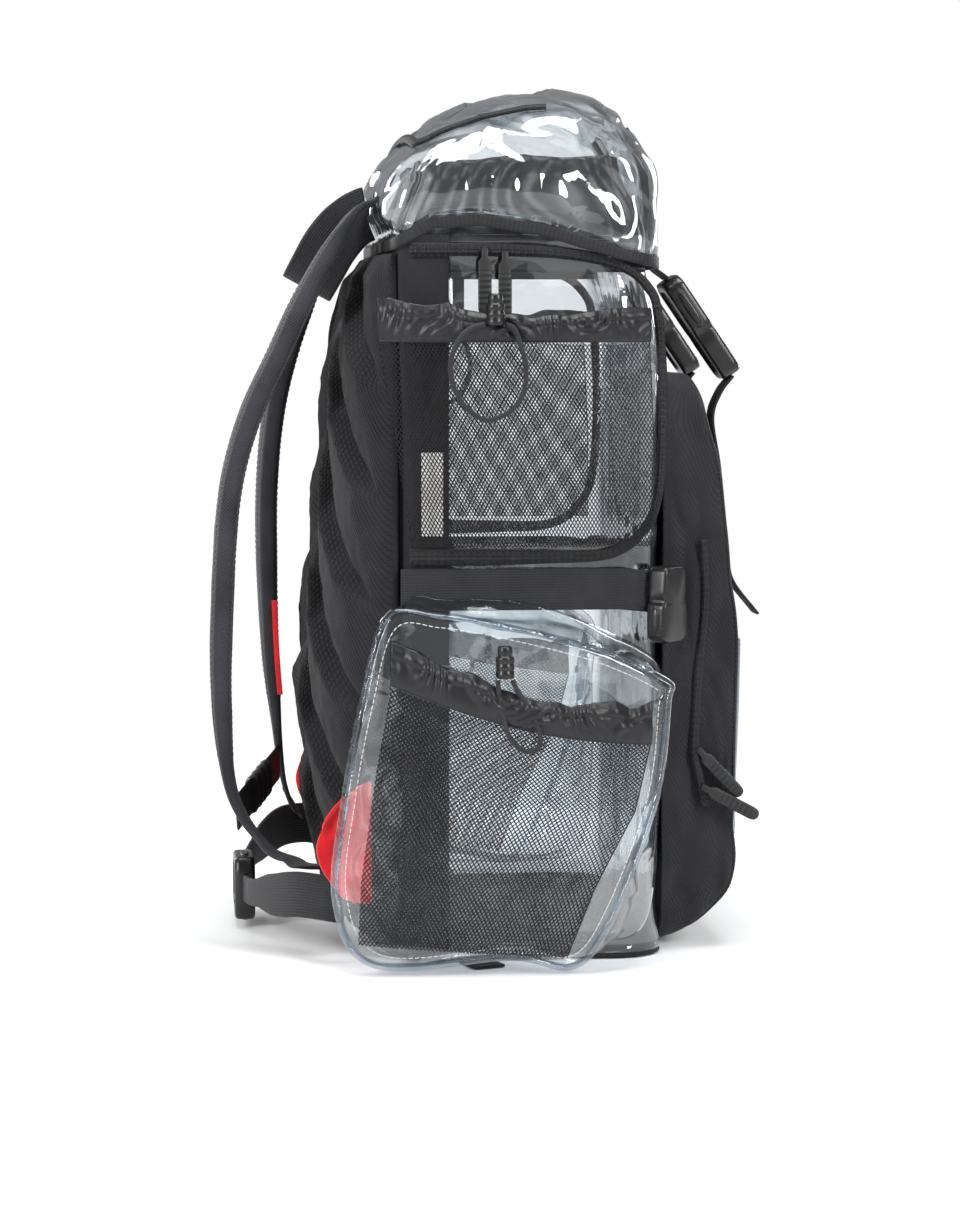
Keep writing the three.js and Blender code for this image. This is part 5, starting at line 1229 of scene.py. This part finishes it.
chosen = [lid_front(v) for v in np.linspace(0.66, 0.03, 7)]
chosen += [np.array([LID_STRAP_X, LID_FRONT - BINDING_THICK / 2 - STRAP_OFF_LID, LID_RIM - 3.5]),
           np.array([LID_STRAP_X, BUCKLE_FROM_Y + 0.3, LID_RIM - 12.6])]
chosen = np.array(chosen)
chosen[:, 0] = LID_STRAP_X
lid_line = spline(chosen, 90)
start = np.array([LID_STRAP_X, BUCKLE_FROM_Y, LID_RIM - 13])
stop = np.array([LID_STRAP_X, BUCKLE_FROM_Y - 40.5, LID_RIM - 72])
tail = np.array([[LID_STRAP_X, BODY_FRONT - FRONT_DEEP * out, FRONT_FOOT + FRONT_TALL * high]
                 for out, high in LID_TAIL_ROUTE])
tail_line = spline(tail, 120)
for side in SIDES:
    m = SIDES[side] < 0
    points, faces, uv = sweep(lid_line, (1, 0, 0), WEBBING_WIDE, WEBBING_THICK)
    facing_out(piece(f"lid_strap_{side}", points, faces, WEBBING, [f"lid_strap_{side}"], uv,
                     mirror=m))
    buckle(f"lid_buckle_{side}", BUCKLE_LONG, 36, BUCKLE_THICK, (start + stop) / 2, (1, 0, 0), stop - start,
           m)
    points, faces, uv = sweep(tail_line, (1, 0, 0), WEBBING_WIDE - 3, WEBBING_THICK)
    facing_out(piece(f"lid_tail_{side}", points, faces, WEBBING, [f"lid_tail_{side}"], uv,
                     mirror=m))

# %% [markdown]
# ## Shoulder straps
# A shoulder strap is a flat padded band with bound edges. Its section is a stadium whose rim carries a
# raised binding, and a row of stitches runs inside each edge.

# %% Shoulder straps
SHOULDER_THICK, SHOULDER_WIDE = 14.0, 64.0
STRAP_FOOT, STRAP_HANG, STRAP_REACH, STRAP_SPREAD = 55.0, 403.0, 105.0, 130.0
SIDE_SHARE = [0.462, 0.492, 0.554, 0.554, 0.577, 0.585, 0.592, 0.615, 0.677, 0.800, 0.908, 1.0]
WIDE_SHARE = [0.70, 0.76, 1, 1, 1, 1, 1, 0.96, 0.80, 0.55, 0.40, 0.38]
STRAPS = {
    "left": {"out": [0.101, 0.229, 0.467, 0.657, 0.829, 0.943, 0.990, 1.0, 0.943, 0.762, 0.590, 0.495],
             "high": [1.0, 0.973, 0.871, 0.767, 0.670, 0.556, 0.395, 0.241, 0.102, 0.027, 0.005, 0.0],
             "thick": [0.25, 0.85, 1, 1, 1, 1, 1, 1, 0.9, 0.6, 0.3, 0.15]},
    "right": {"out": [0.101, 0.229, 0.410, 0.552, 0.638, 0.681, 0.686, 0.667, 0.629, 0.590, 0.543, 0.495],
              "high": [1.0, 0.973, 0.871, 0.767, 0.670, 0.556, 0.434, 0.285, 0.161, 0.072, 0.022, 0.0],
              "thick": [0.25, 0.85, 1, 1, 1, 1, 1, 0.9, 0.8, 0.5, 0.3, 0.15]},
}
BOUND_QUARTER = np.array([[1.0, 0.0], [0.985, 0.55], [0.93, 0.8], [0.885, 0.62], [0.86, 0.66],
                          [0.7, 0.86], [0.4, 0.97], [0.0, 1.0]])
half_bound = np.concatenate([BOUND_QUARTER, BOUND_QUARTER[-2::-1] * [-1, 1]])
BOUND = np.concatenate([half_bound, half_bound[-2:0:-1] * [1, -1]])


def padded_strap(name, rows, mirror):
    """A bound profile carried along a smooth line through the rows' stations, with a fine ripple and four
    lines of stitches. Returns the line."""
    steps = 420
    place = np.column_stack([-STRAP_SPREAD * np.array(SIDE_SHARE),
                             BODY_BACK + STRAP_REACH * np.array(rows["out"]),
                             STRAP_FOOT + STRAP_HANG * np.array(rows["high"])])
    line = spline(place, steps)
    at = np.linspace(0, 11, steps)
    width = SHOULDER_WIDE * np.interp(at, range(12), WIDE_SHARE)
    thick = SHOULDER_THICK * np.interp(at, range(12), rows["thick"])
    points, faces, uv = sweep(line, (1, 0, 0), width, thick, BOUND)
    ripple = 0.35 * noise(points[..., 0] / 16, points[..., 2] / 16, 130)[..., None]
    middle = points.mean(1, keepdims=True)
    points = points + unit(points - middle) * ripple
    ob = facing_out(piece(name, points, faces, STRAP_CLOTH, [name], uv, mirror=mirror))
    over = unit(np.cross((1, 0, 0), heading(line)))
    for k, (edge, face) in enumerate(((0.8, 1), (-0.8, 1), (0.8, -1), (-0.8, -1))):
        path = line + over * (face * thick / 2 * 0.88)[:, None]
        path[:, 0] += edge * width / 2
        dashes(f"{name}_stitch_{k + 1}", path[25:330], over[25:330] * face, 2.6, 1.2, 0.45, THREAD,
               mirror)
    return line


padded_strap("shoulder_strap_left", STRAPS["left"], False)
far_line = padded_strap("shoulder_strap_right", STRAPS["right"], True)

s = np.linspace(0, 1, 40)
at_z = 141 + 62 * s
strap_y = np.interp(-at_z, -far_line[:, 2], far_line[:, 1])
tab_line = np.column_stack([np.full(40, STRAP_SPREAD * 0.6 - SHOULDER_WIDE / 2 - 0.3), strap_y - 3.5, at_z])
points, faces, uv = sweep(tab_line, (0, 1, 0), 3.5, 0.9)
facing_out(piece("strap_tab", points, faces, RED_CLOTH, (), uv))

# %% Haul loop
HAUL_HALF, HAUL_WEBBING, HAUL_TOP, HAUL_REACH, HAUL_DROP = 33.0, 34.0, 469.0, 63.0, 55.0


def haul_point(out):
    """The loop's place back from the body and down from its top, for a share out of its reach."""
    away = np.interp(out, [0, 0.3, 0.65, 1], [0.149, 0.365, 0.698, 1])
    fall = np.interp(out, [0, 0.3, 0.65, 1], [0, 0.018, 0.364, 1])
    return np.column_stack([0 * out, BODY_BACK + HAUL_REACH * away, HAUL_TOP - HAUL_DROP * fall])


turn = np.linspace(0, np.pi, 89)
out = np.sin(turn) ** 0.8
slope = unit(haul_point(np.minimum(1, out + 0.1)) - haul_point(out - 0.1))
across = np.column_stack([0 * out, -slope[:, 2], slope[:, 1]])
loop = haul_point(out)
loop[:, 0] = -HAUL_HALF * np.cos(turn)
box = np.ones(13) / 13  # a moving mean over 13 stations takes the kink out of the turn
evened = np.array([np.convolve(np.pad(c, 6, mode="edge"), box, "valid")
                   for c in np.column_stack([loop, across]).T]).T
loop, across = evened[:, :3], unit(evened[:, 3:])
points, faces, uv = sweep(loop - across * HAUL_WEBBING / 2, across, HAUL_WEBBING, WEBBING_THICK + 0.4)
facing_out(piece("haul_loop", points, faces, WEBBING, ["haul_loop"], uv))

# %% Sternum strap
from_at = np.array([-STRAP_SPREAD * 0.5462, BODY_BACK + STRAP_REACH * 0.9048,
                    STRAP_FOOT + STRAP_HANG * 0.0645])
to_at = np.array([STRAP_SPREAD * 0.5923, BODY_BACK + STRAP_REACH * 0.619, STRAP_FOOT + STRAP_HANG * 0.0918])
s = np.linspace(0, 1, 361)[:, None]
line = from_at * (1 - s) + to_at * s
rib = 0.5 + 0.5 * np.cos(2 * np.pi * (s[:, 0] * 18 - 6) / 2)
slide = ease(5.3, 5.9, s[:, 0] * 18) * ease(12.7, 12.1, s[:, 0] * 18)
thick = 2.6 * (1 - slide) + slide * (5.5 + 4.2 * rib**0.5)
points, faces, uv = sweep(line, (0, 0, 1), WEBBING_WIDE - 1, thick, oval(14, 0.7))
facing_out(piece("sternum_strap", points, faces, RUBBER, ["sternum_strap"], uv))

# %% Hip belt
HIP_BUCKLE_LONG, HIP_BUCKLE_TALL, HIP_REACH = 60.0, 40.0, 90.0
HIP_ROUTE = [(1.0101, 0.356, 0.950, 1.10), (1.0038, 0.500, 1.000, 1.10), (0.8907, 0.667, 1.000, 1.10),
             (0.6985, 0.800, 0.900, 1.00), (0.4472, 0.900, 0.800, 0.72), (0.2123, 0.967, 0.700, 0.66),
             (0.0, 1.000, 0.650, 0.66)]
end_x = HIP_BUCKLE_LONG / 2 + 2 * GAP
share = np.array(HIP_ROUTE)
hip = spline(np.column_stack([-(end_x + (BODY_HALF - end_x) * share[:, 0]),
                              BODY_BACK + HIP_REACH * share[:, 1], HIP_BUCKLE_TALL * share[:, 2]]), 160)
hip_width = WEBBING_WIDE * np.interp(np.linspace(0, 6, 160), range(7), share[:, 3])
for side in SIDES:
    m = SIDES[side] < 0
    points, faces, uv = sweep(hip, (0, 0, 1), hip_width, WEBBING_THICK + 1)
    facing_out(piece(f"hip_strap_{side}", points, faces, WEBBING, [f"hip_strap_{side}"], uv,
                     mirror=m))
buckle("hip_buckle", HIP_BUCKLE_LONG, HIP_BUCKLE_TALL, BUCKLE_THICK, (0, BODY_BACK + HIP_REACH, 25),
       (0, 0, 1), (1, 0, 0))

# %% Red wings
u, v = np.meshgrid(np.linspace(0, 1, 44), np.linspace(0, 1, 44))
tip = BODY_BACK + 50 - 17 * np.abs(1.9 * v - 1) ** 1.8
y = (BODY_BACK + 17) * (1 - u) + tip * u
low, high = 36 + 4 * u**2, 110 - 12 * u**1.5
wave = 1.6 * crumple(u * 2.2, v * 2.5, 140, 2) * ease(0.15, 0.5, u)
wing = np.stack([WALL_X - 0.6 - 4.5 * u**1.5 - wave, y, low * (1 - v) + high * v], -1)
for side in SIDES:
    ob = piece(f"red_wing_{side}", wing, cells(*wing.shape[:2]), RED_CLOTH, [f"red_wing_{side}"],
               wing[..., 1:], mirror=SIDES[side] < 0)
    wall(ob, 1.6, 1.0)

# %% Base tails and side label
for side in SIDES:
    s = np.linspace(0, 2, 50)
    line = np.column_stack([-BODY_HALF - GAP - 12 * s, 34 - 4 * s, np.full(50, 1.0)])
    points, faces, uv = sweep(line, (0, 1, 0), 20, WEBBING_THICK)
    facing_out(piece(f"base_tail_{side}", points, faces, WEBBING, [f"base_tail_{side}"], uv,
                     mirror=SIDES[side] < 0))
u, v = np.meshgrid(np.linspace(-0.5, 0.5, 12), np.linspace(-0.5, 0.5, 40))
label = np.stack([np.full(u.shape, WALL_X - 0.2), BODY_BACK - 20 + 13 * u, 282 + 50 * v], -1)
ob = piece("side_label", label, cells(40, 12), LABEL_CLOTH, ["side_label"], np.stack([u, v], -1))
wall(ob, 0.6, 1.0)
